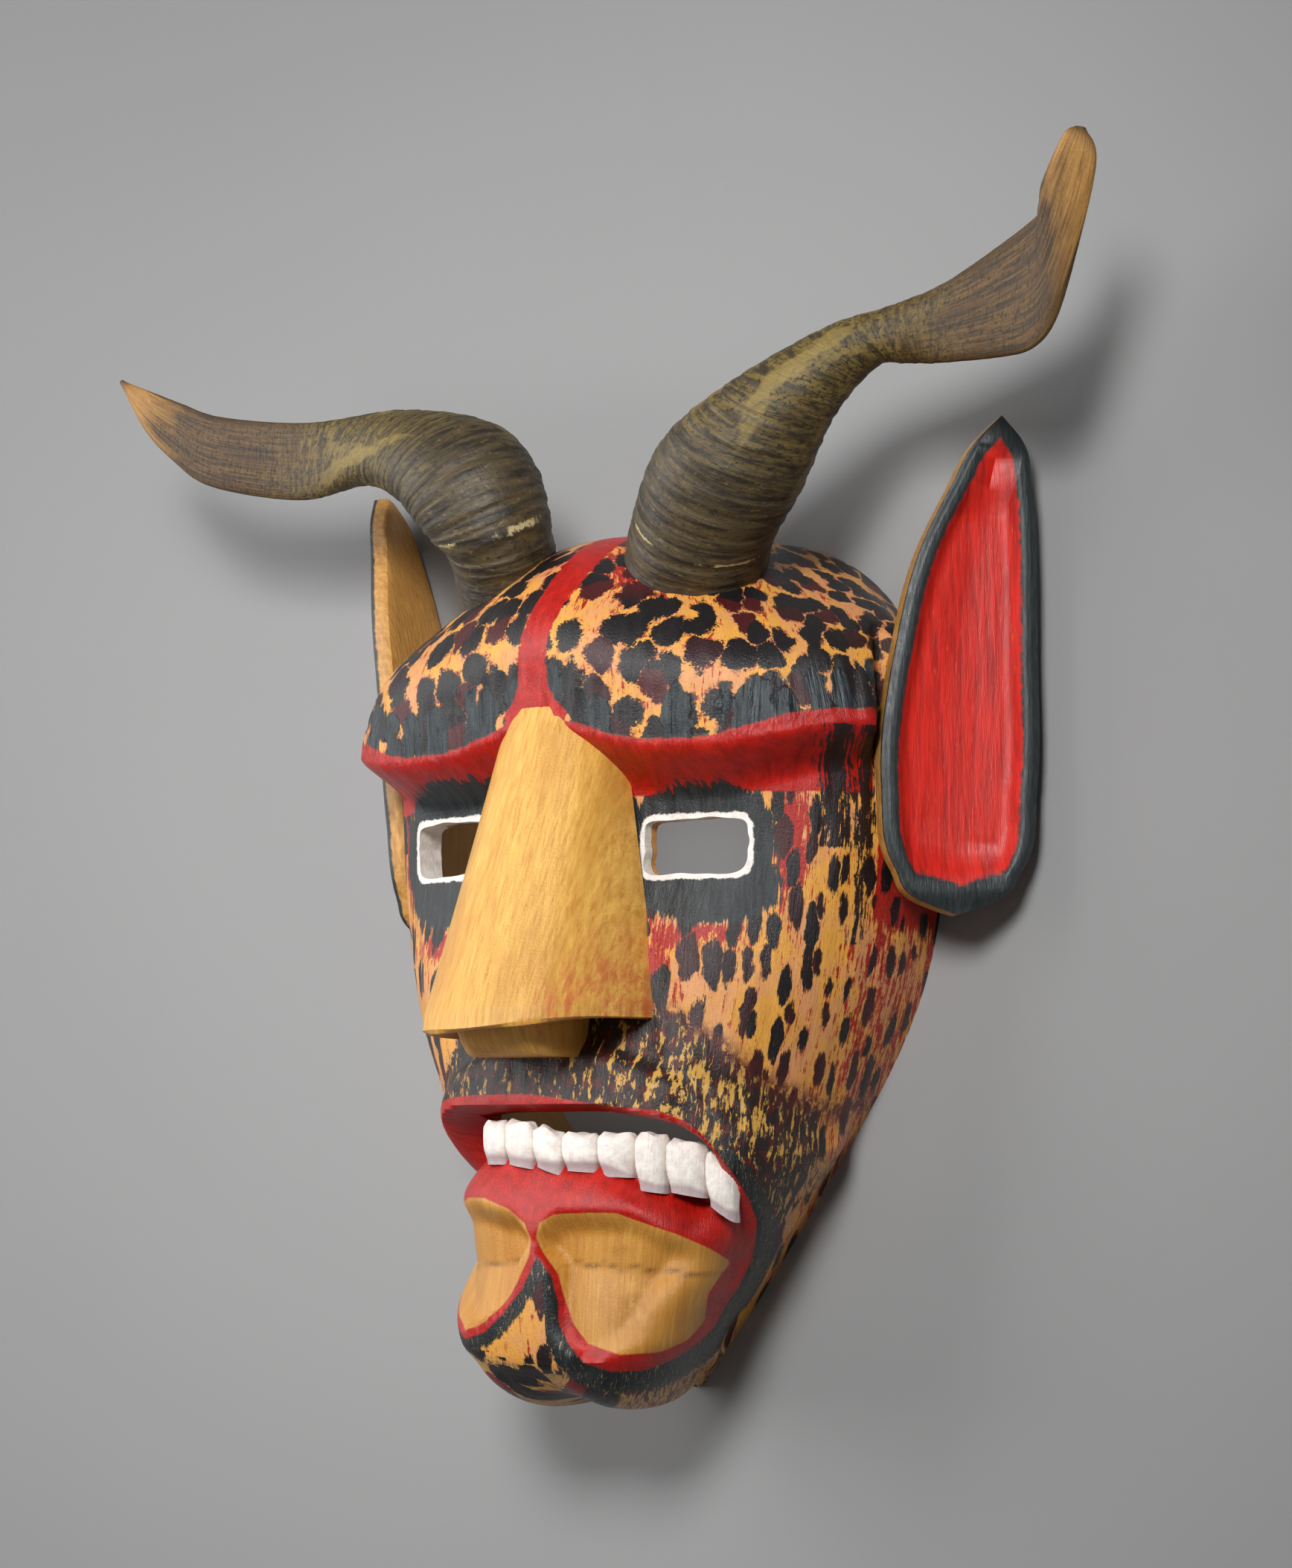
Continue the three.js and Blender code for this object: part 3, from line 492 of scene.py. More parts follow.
def paint_field(made, name, values):
    """Keeps a number on every vertex for the material to read."""
    field = made.data.attributes.new(name, "FLOAT", "POINT")
    field.data.foreach_set("value", np.asarray(values, np.float32))


# Which carving a vertex belongs to: 0 the face, 1 the nose, 2 the block under it, 3 a tooth
bpy.ops.object.select_all(action="DESELECT")
for number, made in [(0, face), (1, nose_object), (2, block_object), *((3, tooth) for tooth in teeth)]:
    paint_field(made, "carving", np.full(len(made.data.vertices), number))
    made.select_set(True)
bpy.context.view_layer.objects.active = face
bpy.ops.object.join()
shade(face.data, 42)


def positions(made):
    """A mesh's points in millimetres, in the face's own measure."""
    flat = np.zeros(len(made.data.vertices) * 3)
    made.data.vertices.foreach_get("co", flat)
    return (flat.reshape(-1, 3) - ORIGIN) * 1000


def box_distance(x, y, x0, x1, y0, y1, corner):
    """Distance inside an oblong with rounded corners."""
    dx = np.abs(x - (x0 + x1) / 2) - (x1 - x0) / 2 + corner
    dy = np.abs(y - (y0 + y1) / 2) - (y1 - y0) / 2 + corner
    return corner - np.hypot(np.maximum(dx, 0), np.maximum(dy, 0)) - np.minimum(np.maximum(dx, dy), 0)


def paint_place(made, name, *columns):
    """Keeps a place on every vertex, on which the material lays its patterns."""
    place = made.data.attributes.new(name, "FLOAT_VECTOR", "POINT")
    place.data.foreach_set("vector", np.stack(columns, 1).astype(np.float32).reshape(-1))


# Outlines of the bare hollows, the eye patches and the muzzle's dark paint, in x and y, but the left
# hollow's in slanted() and y
LEFT_HOLLOW = [
    (-45, -18), (-41, -15.5), (-32, -15), (-23, -15), (-14.5, -18), (-5.6, -21), (3.4, -25), (9.5, -29),
    (6.3, -33), (2.8, -38), (1.8, -46), (-3, -51), (-10.7, -54), (-22, -54.5), (-31, -51.7),
    (-35.3, -46), (-38, -38), (-39.6, -32), (-44, -26), (-46, -22),
]
RIGHT_HOLLOW = [
    (-27, -11), (-18, -11), (-8, -14), (-2, -18), (0, -22), (0.5, -27), (-4, -35), (-11, -42),
    (-18, -47), (-26, -49), (-33, -44), (-38, -34), (-39, -22), (-35, -13),
]
LEFT_PATCH = [
    (22, 100), (28, 104), (39, 107), (52, 107), (61, 103), (65, 97), (64, 84), (66, 79), (65, 72),
    (57, 67), (41, 66), (32, 70), (26, 74), (22, 84),
]
RIGHT_PATCH = [
    (-17, 104), (-22, 111), (-40, 112), (-62, 109), (-70, 100), (-71, 86), (-66, 74), (-50, 68),
    (-30, 69), (-19, 76),
]
MUZZLE = [
    (-52, 4), (-47, 20), (-38, 32), (-24, 37), (0, 40), (24, 43), (38, 42), (52, 33), (62, 19),
    (67, 5), (70, -10), (66, -26), (52, -20), (0, -14), (-48, -14),
]
NOWHERE, EVERYWHERE = -20, 20
X, Y, Z = positions(face).T
carving = np.zeros(len(X))
face.data.attributes["carving"].data.foreach_get("value", carving)
normal = np.zeros(len(X) * 3)
face.data.vertices.foreach_get("normal", normal)
normal = normal.reshape(-1, 3)
is_face = carving < 0.5
is_tooth = carving > 2.5
ridge_z = along(FACE_DEPTH, Y, FACE_STATIONS)
sideways = X + np.sign(X) * np.clip(ridge_z - 6 - Z, 0, 90)
upward = Y + 0.7 * np.clip(ridge_z - Z, 0, 90) * smooth(130, 182, Y)
paint_place(face, "lay", sideways, upward, Z * 0.2)
wide = np.abs(sideways)
over = Y - brow_line(X)
mouth = inside_mouth(X, Y)
outside = (Z > 30) & (normal[:, 2] > -0.6)
skin_front = is_face & outside
left_hollow = np.where(X > -3, outline_distance(LEFT_HOLLOW, slanted(X, Z), Y), NOWHERE)
left_red = np.where((X > 3) & (Z > 12), outline_distance(MOUTH_LEFT, slanted(X, Z), Y), NOWHERE)
right_hollow = outline_distance(RIGHT_HOLLOW, X, Y)
bare = np.where(skin_front, np.maximum(left_hollow, right_hollow), NOWHERE)
behind = is_face & (nearest(positions(face), inner.reshape(-1, 3))[1] < 0.02)
eyes = np.maximum(box_distance(X, Y, *LEFT_EYE, 3), box_distance(-X, Y, *RIGHT_EYE, 3))
patch = np.maximum(outline_distance(LEFT_PATCH, X, Y), outline_distance(RIGHT_PATCH, X, Y))
stripe_half = 5.0 + 1.2 * smooth(150, 180, Y) + 6 * bump(Y, 127, 5)
stripe = np.where(Y > 120, stripe_half - np.abs(X + 0.6 - 3.5 * smooth(140, 175, Y)), NOWHERE)
under_brow = np.minimum(0.5 - over, Y - 104)
lip_margin = 3.3 - 3.6 * smooth(-8, 26, X)
lip_red = np.minimum(mouth + lip_margin, Y - lip_line(X) + 1)
lip_red = np.maximum(np.where((Y < 30) & (X < 30), lip_red, NOWHERE), left_red)
hollow_red = np.maximum(left_hollow + 2.0, right_hollow + 2.4)
red = np.maximum(np.maximum(stripe, np.minimum(under_brow, 112 - wide)), np.maximum(lip_red, hollow_red))
right_outline = np.where(Y < -16, right_hollow + 6.5, NOWHERE)
left_outline = np.where((Y < 3) & (X > 5), left_red + 4.5 + 2 * smooth(-5, -30, Y), NOWHERE)
outlined = np.maximum(right_outline, left_outline)
temple_bands = np.maximum(6.5 - np.abs(wide - 95), 4.5 - np.abs(wide - 108))
side_band = 2.0 - np.abs(wide - 108)
temple = np.select([(Y > 88) & (Y < 122), (Y > 60) & (Y < 122)], [temple_bands, side_band], NOWHERE)
# How thickly red is rubbed on: beside the nose, round the eye patch, over the cheek, down the side,
# at the ear, on the crown and beside the mouth
rubbed = np.maximum.reduce([
    bump(wide, 29, 9) * bump(Y, 52, 17),
    bump(wide, 77, 9) * bump(Y, 92, 22),
    0.8 * bump(Y, 63, 5) * bump(wide, 42, 26),
    0.42 * smooth(80, 125, wide) * smooth(124, 100, Y),
    1.2 * smooth(112, 118, wide) * smooth(60, 72, Y) * smooth(124, 112, Y),
    0.9 * bump(X, 22, 26) * bump(upward, 178, 14),
    0.8 * bump(wide, 60, 8) * bump(Y, 8, 14),
])
nose_pink = bump(X, 30, 9) * smooth(72, 42, Y)
nose_orange = bump(X, -26, 6) * bump(Y, 46, 15) + 0.5 * bump(X, -8, 3) * bump(Y, 52, 18)
hollow_brown = bump(X, 28, 8) * bump(Y, -43, 7) + bump(X, 25, 2.4) * bump(Y, -25.5, 1.2)
# Painted shade: a dark line along the crease across each bare hollow under the lip
crease_y = -29.5 - 2.5 * smooth(14, 45, X) + 0.5 * np.sin(X * 0.7)
crease = bump(Y, crease_y, 0.55) * smooth(5, 14, X) * smooth(46, 42, X)
crease += bump(Y, -28 + 0.1 * X, 0.5) * smooth(-3, -10, X) * smooth(-34, -28, X)
fields = {
    "red": np.where(skin_front, red, NOWHERE),
    "black": np.where(skin_front, patch, NOWHERE),
    "outlined": np.where(is_face & (Z > 18), outlined, NOWHERE),
    "temple": np.where(is_face, temple, NOWHERE),
    "bare": np.select([is_face, is_tooth], [bare, NOWHERE], EVERYWHERE),
    "white": np.select([is_tooth, skin_front], [EVERYWHERE, 1.5 - np.abs(eyes)], NOWHERE),
    "hollow": np.where(behind, EVERYWHERE, NOWHERE),
    "muzzle": np.where(skin_front, outline_distance(MUZZLE, X, Y), NOWHERE),
    "rubbed": rubbed,
    "stained": np.where(is_face, hollow_brown, 0),
    "pink": np.where(is_face, 0, nose_pink),
    "orange": np.where(is_face, 0, nose_orange),
    "crease": np.where(is_face, crease, 0),
    "jaw": smooth(8, -10, Y) * (mouth < 1),
    "fold": bump(np.hypot(X - 46, (Y - 14) * 0.6), 6, 14) * (X > 20),
    "fold_line": bump(outline_distance(MUZZLE, X, Y), 0, 2.2) * smooth(30, 44, X) * smooth(-12, 2, Y),
    "over_brow": over,
    "side": wide,
    # Height above the teeth's foot, where the white is darkened as painted shade
    "tooth_foot": np.where(is_tooth, Y - teeth_foot(X), EVERYWHERE),
}
for name, values in fields.items():
    paint_field(face, name, values)


def painter(name):
    """A new material and a way to put nodes in it: put(kind, inputs, settings) links sockets and
    sets plain values."""
    material = bpy.data.materials.new(name)
    material.use_nodes = True
    tree = material.node_tree
    tree.nodes.clear()

    def put(kind, inputs=None, settings=None):
        node = tree.nodes.new(kind)
        for key, value in (settings or {}).items():
            setattr(node, key, value)
        for key, value in (inputs or {}).items():
            socket = node.inputs[key]
            if isinstance(value, bpy.types.NodeSocket):
                tree.links.new(value, socket)
            else:
                socket.default_value = value
        return node

    return material, put


def colour(code):
    """Linear colour of a six-figure code."""
    parts = np.array([int(code[k : k + 2], 16) for k in (0, 2, 4)]) / 255
    linear = np.where(parts <= 0.04045, parts / 12.92, ((parts + 0.055) / 1.055) ** 2.4)
    return (*linear.tolist(), 1.0)


def tools(put):
    """Short forms for the nodes that the paints share. plus adds a share of one value to another,
    step runs from start to end as a value goes from low to high, blend takes colour codes too, and
    layered lays coats over a base, each with a value, where it starts and is full, how much it
    covers at most, and its colour."""

    def field(name):
        return put("ShaderNodeAttribute", settings={"attribute_name": name}).outputs["Fac"]

    def times(a, b):
        return put("ShaderNodeMath", {0: a, 1: b}, {"operation": "MULTIPLY"}).outputs[0]

    def plus(value, by, share=1.0):
        inputs = {0: by, 1: share, 2: value}
        return put("ShaderNodeMath", inputs, {"operation": "MULTIPLY_ADD"}).outputs[0]

    def step(value, low, high, start=0.0, end=1.0):
        inputs = {"Value": value, "From Min": low, "From Max": high, "To Min": start, "To Max": end}
        return put("ShaderNodeMapRange", inputs).outputs[0]

    def stretch(vector, scale, turn=0.0):
        inputs = {"Vector": vector, "Scale": scale, "Rotation": (0, 0, math.radians(turn))}
        return put("ShaderNodeMapping", inputs).outputs[0]

    def noise(vector, scale, detail=4.0, rough=0.55):
        inputs = {"Vector": vector, "Scale": scale, "Detail": detail, "Roughness": rough}
        return put("ShaderNodeTexNoise", inputs).outputs["Fac"]

    def blend(share, a, b):
        first, second = (colour(c) if isinstance(c, str) else c for c in (a, b))
        inputs = {"Factor": share, 6: first, 7: second}
        return put("ShaderNodeMix", inputs, {"data_type": "RGBA"}).outputs[2]

    def layered(base, *coats):
        for value, low, high, most, over in coats:
            base = blend(step(value, low, high, 0, most), base, over)
        return base

    def finish(base, roughness, relief, strength, depth):
        inputs = {"Height": relief, "Strength": strength, "Distance": depth}
        raised = put("ShaderNodeBump", inputs).outputs[0]
        inputs = {"Base Color": base, "Roughness": roughness, "Normal": raised}
        gloss = put("ShaderNodeBsdfPrincipled", inputs).outputs[0]
        put("ShaderNodeOutputMaterial", {"Surface": gloss})

    return field, times, plus, step, stretch, noise, blend, layered, finish


paint, put = painter("hand_painted_wood")
field, times, plus, step, stretch, noise, blend, layered, finish = tools(put)
lay_at = put("ShaderNodeAttribute", settings={"attribute_name": "lay"}).outputs["Vector"]
ragged = noise(lay_at, 0.35, 5, 0.65)
ragged_fine = noise(lay_at, 1.5, 4, 0.65)
upright = noise(stretch(lay_at, (1, 0.14, 1)), 0.75, 5, 0.72)
upright_fine = noise(stretch(lay_at, (1, 0.16, 1)), 2.0, 4, 0.7)
broad = noise(lay_at, 0.07, 3, 0.6)
wobble = plus(times(plus(ragged_fine, -0.5), 2.5), plus(ragged, -0.5), 6.0)
upright_wobble = times(plus(upright, -0.5), 16.0)


def edge(value, softness=0.35):
    """1 where the value is above nought, with a brush's edge."""
    return step(value, -softness, softness)


def dabbed(spot):
    """1 inside a spot of paint, with a dab's sharper edge."""
    return edge(spot, 0.02)


# Bare wood: honey with upright grain, stains, and painted shade along the carver's crease
grain = noise(stretch(lay_at, (1, 0.05, 1)), 1.3, 6, 0.7)
grain_broad = noise(stretch(lay_at, (1, 0.12, 1)), 0.16, 3, 0.5)
wood = layered(
    "F2BE5E",
    (grain, 0.38, 0.68, 1, "CC8C3A"),
    (grain_broad, 0.42, 0.7, 0.65, "C58C3A"),
    (field("bare"), 19.5, 16, 0.5, "A86418"),
)
wood = blend(times(field("orange"), 0.75), wood, "B5620F")
wood = blend(times(times(field("pink"), step(upright, 0.42, 0.6)), 0.85), wood, "C9553A")
wood = blend(times(times(field("stained"), step(ragged, 0.3, 0.6)), 0.8), wood, "A06A22")
# Painted shade along the crease
wood = blend(times(field("crease"), step(ragged_fine, 0.4, 0.5, 0.3, 0.9)), wood, "6E4A1E")

# The ground of the painted skin, yellow to peach, with red rubbed and streaked over it
rub = plus(plus(upright, field("rubbed"), 0.27), plus(ragged, -0.5), 0.35)
streaks = plus(upright_fine, field("rubbed"), 0.14)
skin = layered(
    "E5A544",
    (broad, 0.42, 0.6, 1, "DD9A62"),
    (upright_fine, 0.45, 0.7, 0.5, "C87E3C"),
    (rub, 0.60, 0.635, 1, layered("B81E10", (ragged_fine, 0.4, 0.62, 1, "8A100A"))),
    (streaks, 0.64, 0.68, 0.75, "B02A18"),
)
forehead = step(field("over_brow"), -1, 1)

# Dark spots: round and close together on the forehead, drawn out downwards on the cheeks
drift = put("ShaderNodeTexNoise", {"Vector": lay_at, "Scale": 0.16, "Detail": 3.0}).outputs["Color"]
shift = put("ShaderNodeVectorMath", {0: drift, 1: (0.5, 0.5, 0.5)}, {"operation": "SUBTRACT"}).outputs[0]


def bend(across, up):
    """The surface's coordinates, carried sideways and up a little by broad noise."""
    inputs = {0: shift, 1: (across, up, 0.0), 2: lay_at}
    return put("ShaderNodeVectorMath", inputs, {"operation": "MULTIPLY_ADD"}).outputs[0]


def cells(at, randomness):
    """The distance from the middle of the cell one is in, and numbers of each cell's own."""
    inputs = {"Vector": at, "Scale": 1.0, "Randomness": randomness}
    found = put("ShaderNodeTexVoronoi", inputs, {"voronoi_dimensions": "2D"}).outputs
    return found["Distance"], put("ShaderNodeSeparateColor", {"Color": found["Color"]}).outputs


def spots(at, scale_x, scale_y, raggedness, size, spread):
    """Share of dark spots, one in each cell and each of its own size, and a number of its own for
    every spot."""
    distance, own = cells(stretch(at, (scale_x, scale_y, 0)), 0.8)
    distance = plus(distance, times(plus(raggedness, -0.5), 0.45))
    return plus(plus(size, own[0], spread), distance, -1.0), own[1]


brow_spots, brow_own = spots(bend(8, 9), 1 / 9.5, 1 / 10.5, ragged_fine, 0.44, 0.12)
cheek_spots, cheek_own = spots(bend(4, 8), 1 / 7.6, 1 / 16.0, upright_fine, 0.24, 0.24)
cheek_spots = plus(cheek_spots, step(field("side"), 84, 120), -0.12)
halo = times(dabbed(plus(brow_spots, 0.07)), step(ragged, 0.50, 0.58, 0, 0.8))
skin = blend(times(forehead, halo), skin, "A03038")
maroon = step(plus(brow_own, field("rubbed"), 0.35), 0.72, 0.86, 0, 0.75)
dark_brow = blend(maroon, "171214", "521114")
dark_cheek = layered(
    "120D10", (cheek_own, 0.45, 0.85, 1, "3A0C0B"), (upright_fine, 0.63, 0.67, 0.8, "9A3018")
)
skin = blend(times(forehead, dabbed(brow_spots)), skin, dark_brow)
skin = blend(times(plus(1.0, forehead, -1.0), dabbed(cheek_spots)), skin, dark_cheek)

# The first row over the brow's edge: broad blue-black blocks, streaked lighter blue-grey as painted sheen
row, row_own = cells(stretch(bend(8, 9), (1 / 10.5, 0.001, 0)), 0.7)
block_top = plus(plus(12.0, row_own[0], 9.0), row, -13.0)
from_top = plus(plus(block_top, wobble, 0.5), field("over_brow"), -1.0)
from_foot = plus(plus(field("over_brow"), 1.5), upright_wobble, 0.9)
block = times(edge(from_top), edge(from_foot))
block = times(block, step(plus(row, ragged_fine, 0.12), 0.52, 0.48))
# Blue-black, with lighter blue-grey streaks as painted sheen
skin = blend(block, skin, blend(step(upright, 0.4, 0.66), "12171B", "2E3C40"))

# The sides of the jaw and the chin: slanting strokes of maroon, black and cream
slant = noise(stretch(lay_at, (1, 0.22, 1), -32), 0.55, 5, 0.7)
slant_fine = noise(stretch(lay_at, (1, 0.2, 1), -32), 1.5, 4, 0.7)
jaw = layered(
    "541012",
    (slant, 0.43, 0.45, 1, "DEA95C"),
    (slant, 0.53, 0.55, 1, "8C1A14"),
    (slant_fine, 0.56, 0.59, 0.95, "1B1A1C"),
    (slant_fine, 0.40, 0.37, 0.8, "D8A868"),
)
chin_spots, chin_own = spots(bend(3, 3), 1 / 8.5, 1 / 6.5, ragged_fine, 0.42, 0.16)
chin_dark = blend(step(chin_own, 0.45, 0.55), "7E120C", "1E1618")
chin = blend(dabbed(chin_spots), "DDA257", chin_dark)
chin = layered(chin, (slant_fine, 0.56, 0.59, 0.9, "1E1A1A"))
jaw = blend(step(field("side"), 34, 30), jaw, chin)
skin = blend(edge(plus(plus(field("jaw"), wobble, 0.12), -0.5), 0.06), skin, jaw)

# Muzzle: near-black brown with yellow flecks, more of them along the fold beside the mouth
flecks = noise(stretch(lay_at, (1, 0.36, 1)), 0.42, 5, 0.72)
flecks = plus(flecks, field("fold"), 0.05)
muzzle = layered(
    "231713",
    (noise(lay_at, 0.3, 4, 0.6), 0.52, 0.58, 0.85, "561310"),
    (flecks, 0.57, 0.60, 1, "D4A24C"),
    (noise(stretch(lay_at, (1, 0.5, 1)), 0.5, 4, 0.7), 0.60, 0.63, 0.9, "15181A"),
)
skin = blend(edge(plus(field("muzzle"), wobble)), skin, muzzle)
skin = blend(times(field("fold_line"), step(ragged, 0.42, 0.5, 0.2, 0.9)), skin, "4E100E")

# Reds and blacks over the skin, white teeth and eye rims, and bare wood
red = layered("C01408", (ragged, 0.35, 0.7, 1, "920A05"), (upright, 0.52, 0.7, 0.6, "CE2A14"))
# Peach flecks on the red under the brow's edge: painted glints
brow_glints = times(step(upright_fine, 0.70, 0.74, 0, 0.7), step(field("over_brow"), -30, -14))
red = blend(brow_glints, red, "D8904C")
# Black paint, streaked lighter blue-grey as painted sheen; the outline is laid on the same black
black = layered("121518", (upright, 0.42, 0.66, 1, "2A3234"))
outline = layered(black, (upright_fine, 0.60, 0.64, 0.85, "C09A5C"))
temple = layered("1E1517", (upright_fine, 0.55, 0.62, 1, "3A1512"))
# White paint; near the teeth's foot it turns grey-mauve as painted shade where they meet the lower lip
white = layered(
    "FAF4EA", (ragged, 0.4, 0.7, 1, "E0D2CC"), (field("tooth_foot"), 1.6, 0.2, 0.7, "A88C94")
)
raw_wood = layered("A87C46", (grain, 0.35, 0.7, 1, "7E5830"))
red_edge = plus(plus(field("red"), wobble, 0.12), times(wobble, forehead), 0.5)
for share, over in (
    (edge(plus(plus(field("outlined"), wobble, 0.5), upright_wobble, 0.35)), outline),
    (edge(red_edge, 0.25), red),
    (edge(plus(plus(field("black"), wobble, 0.35), upright_wobble, 0.7)), black),
    (edge(plus(plus(field("temple"), wobble, 1.8), upright_wobble, 2.2)), temple),
    (edge(plus(field("bare"), wobble, 0.10), 0.2), wood),
    (edge(plus(field("white"), wobble, 0.35), 0.2), white),
    (edge(field("hollow")), raw_wood),
):
    skin = blend(share, skin, over)

ridges = noise(stretch(lay_at, (1, 0.05, 1)), 0.9, 2, 0.5)
relief = plus(plus(times(ragged_fine, 0.5), upright, 0.8), grain, 0.35)
relief = plus(relief, times(block, ridges), 2.0)
finish(skin, step(ragged_fine, 0.3, 0.7, 0.30, 0.46), relief, 0.45, 0.0009)
face.data.materials.clear()
face.data.materials.append(paint)
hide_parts("mask_face")
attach(face, "root")


# The ears
# Two leaf-shaped boards, hollowed in front and fixed upright to the sides of the head. The hollow is
# painted red and the raised rim black; their backs and the edge against the head stay bare.

EAR_LENGTH = 144.0
EAR_H = [0, 4, 13, 37, 77, 105, 123, 137, 144]
EAR_FIXED = [22, 11, 4, 0, 4.5, 12, 21, 29, 36]
EAR_FREE = [22, 33, 41, 45.5, 46, 46, 45, 42, 36]
EAR_STEPS, EAR_HOLLOW, EAR_ROUNDING = 90, 4.2, 0.9


def ear_board(name, side, x, y, z, turn, width, lean, thick):
    """A board over the outline: rings of the outline drawn in to its middle line make the hollowed
    front and the flat back, and the edge is rounded between them."""
    h_half = EAR_LENGTH * (1 - np.cos(np.linspace(0, math.pi, EAR_STEPS))) / 2
    h = np.concatenate([h_half, h_half[-2:0:-1], h_half[:1]])
    way = np.concatenate([np.ones(EAR_STEPS), -np.ones(EAR_STEPS - 2), [1.0]])
    fronts = np.concatenate([np.linspace(0, 0.7, 14), np.linspace(0.73, 1, 14)])
    shares = np.concatenate([fronts, [1.0] * 5, np.linspace(0.97, 0, 8)])
    kinds = np.concatenate([np.zeros(28), np.linspace(0.2, 0.8, 5), np.ones(8)])
    S, H = np.meshgrid(shares, h, indexing="ij")
    K = np.broadcast_to(kinds[:, None], S.shape)
    W = np.broadcast_to(way, S.shape)
    height = EAR_LENGTH / 2 + (H - EAR_LENGTH / 2) * (0.35 + 0.65 * S)
    fixed = along(EAR_FIXED, height, EAR_H)
    free = along(EAR_FREE, height, EAR_H)
    middle, half = (fixed + free) / 2, np.maximum((free - fixed) / 2, 0)
    half = np.where((H < 1e-6) | (H > EAR_LENGTH - 1e-6), 0, half)
    across = middle + half * S * W
    inset = np.minimum(across - fixed, free - across)
    inset = np.minimum(inset, np.minimum(height * 0.55, (EAR_LENGTH - height) * 0.62))
    hollow = EAR_HOLLOW * smooth(3.5, 9, inset) + 0.8 * smooth(8, 20, inset)
    front = thick - hollow - EAR_ROUNDING * (1 - smooth(0, 2.2, inset))
    back = 0.6 * (1 - smooth(0, 1.5, inset))
    between = (1 - K) * (thick - EAR_ROUNDING) + 0.3
    depth = np.select([K <= 0, K >= 1], [front, back], between)
    out = across * width
    angle = math.radians(turn)
    px = x + out * np.cos(angle) + (depth - thick) * np.sin(angle) + lean * (height / EAR_LENGTH) ** 2
    pz = z - out * np.sin(angle) + (depth - thick) * np.cos(angle)
    points = np.stack([side * px, y + height, np.maximum(pz, 0.02)], -1)
    return sheet(name, points if side > 0 else points[:, ::-1])


def ear_fields(made, side, x, y, z, turn, width, lean, thick):
    """Distance in from the outline, depth through the board and height up it, worked back from
    the finished vertices."""
    px, py, pz = positions(made).T
    h = np.clip(py - y, 0, EAR_LENGTH)
    angle = math.radians(turn)
    dx = side * px - x - lean * (h / EAR_LENGTH) ** 2
    dz = pz - z
    out = (dx * math.cos(angle) - dz * math.sin(angle)) / width
    depth = dx * math.sin(angle) + dz * math.cos(angle) + thick
    fixed = along(EAR_FIXED, h, EAR_H)
    free = along(EAR_FREE, h, EAR_H)
    from_ends = np.minimum(h * 0.58, (EAR_LENGTH - h) * 0.72)
    inset = np.minimum(np.minimum(out - fixed, free - out) * width, from_ends)
    bare_from = np.where(inset < 3.2, np.where(out - fixed < 6, thick - 2.2, 2.0), 1.3)
    paint_field(made, "inset", inset)
    paint_field(made, "painted", depth - bare_from)
    paint_place(made, "lay", out, h, depth * 0.3)


ear_paint, put = painter("ear_paint")
field, times, plus, step, stretch, noise, blend, layered, finish = tools(put)
lay_at = put("ShaderNodeAttribute", settings={"attribute_name": "lay"}).outputs["Vector"]
brushed = noise(stretch(lay_at, (1, 0.08, 1)), 0.6, 5, 0.65)
ragged = noise(lay_at, 0.3, 5, 0.6)
fine = noise(stretch(lay_at, (1, 0.12, 1)), 1.6, 4, 0.7)
wobble = times(plus(ragged, -0.5), 4.0)
red_ear = layered(
    "D8200F",
    (brushed, 0.4, 0.66, 1, "A61409"),
    (fine, 0.62, 0.72, 0.6, "EA6A3C"),
    (fine, 0.36, 0.28, 0.5, "5A0A0A"),
)
# The black rim, streaked lighter blue-grey as painted sheen
rim = layered("1E2324", (fine, 0.4, 0.75, 1, "384042"))
wood = layered("CF9A4C", (fine, 0.35, 0.7, 1, "A06A30"))
coat = blend(step(plus(field("inset"), wobble, 0.6), 5.4, 4.6), red_ear, rim)
coat = blend(step(plus(field("painted"), wobble, 0.5), 0.3, -0.3), coat, wood)
relief = plus(times(fine, 0.4), brushed, 0.8)
finish(coat, step(ragged, 0.3, 0.7, 0.36, 0.52), relief, 0.4, 0.0008)

# Each ear's side, foot, turn in degrees, width, lean outwards at the tip, and thickness
EARS = {
    "left_ear": (1, LEFT_EAR_X, 69.0, LEFT_EAR_Z, 45.0, 1.0, 0.0, LEFT_EAR_THICK),
    "right_ear": (-1, 92.0, 68.0, 35.0, 92.0, 0.75, 30.0, 8.0),
}
for name, at in EARS.items():
    ear = ear_board("carved_" + name, *at)
    ear_fields(ear, *at)
    shade(ear.data, 50)
    ear.data.materials.append(ear_paint)
    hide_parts(name)
    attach(ear, "root")


# The horns
# Two real goat horns, ringed and near round at the foot, drawn out to flat twisted blades. Each is
# set in a hole in the crown, with grey-brown filler smeared round its foot.

# Each station is the section's right (later lower) edge, its left edge and its half-thickness
LEFT_HORN = [
    [7, 160, 52.5, 43, 164, 27.5, 22],
    [22, 185.5, 66, 55, 179, 42, 21.5],
    [38, 205, 74, 70, 191, 50, 18.5],
    [61, 220.5, 71.5, 84, 210, 54.5, 13],
    [86, 234.5, 61.5, 97, 223, 52.5, 8],
    [102.5, 239, 56, 106, 223, 52, 6.5],
    [121, 244, 53.5, 118.5, 221.5, 52.5, 4.5],
    [139, 251, 56, 137.5, 220.5, 54, 3.4],
    [153.5, 257.5, 59, 150, 221, 57, 2.8],
    [156.5, 260, 63.5, 158, 227.5, 58.5, 2.6],
    [159, 264.5, 67.5, 165.5, 245, 60.5, 2.4],
    [166.5, 275.5, 70, 173.5, 268, 64, 2],
    [169, 278, 68, 171.5, 277.5, 66, 1.2],
]
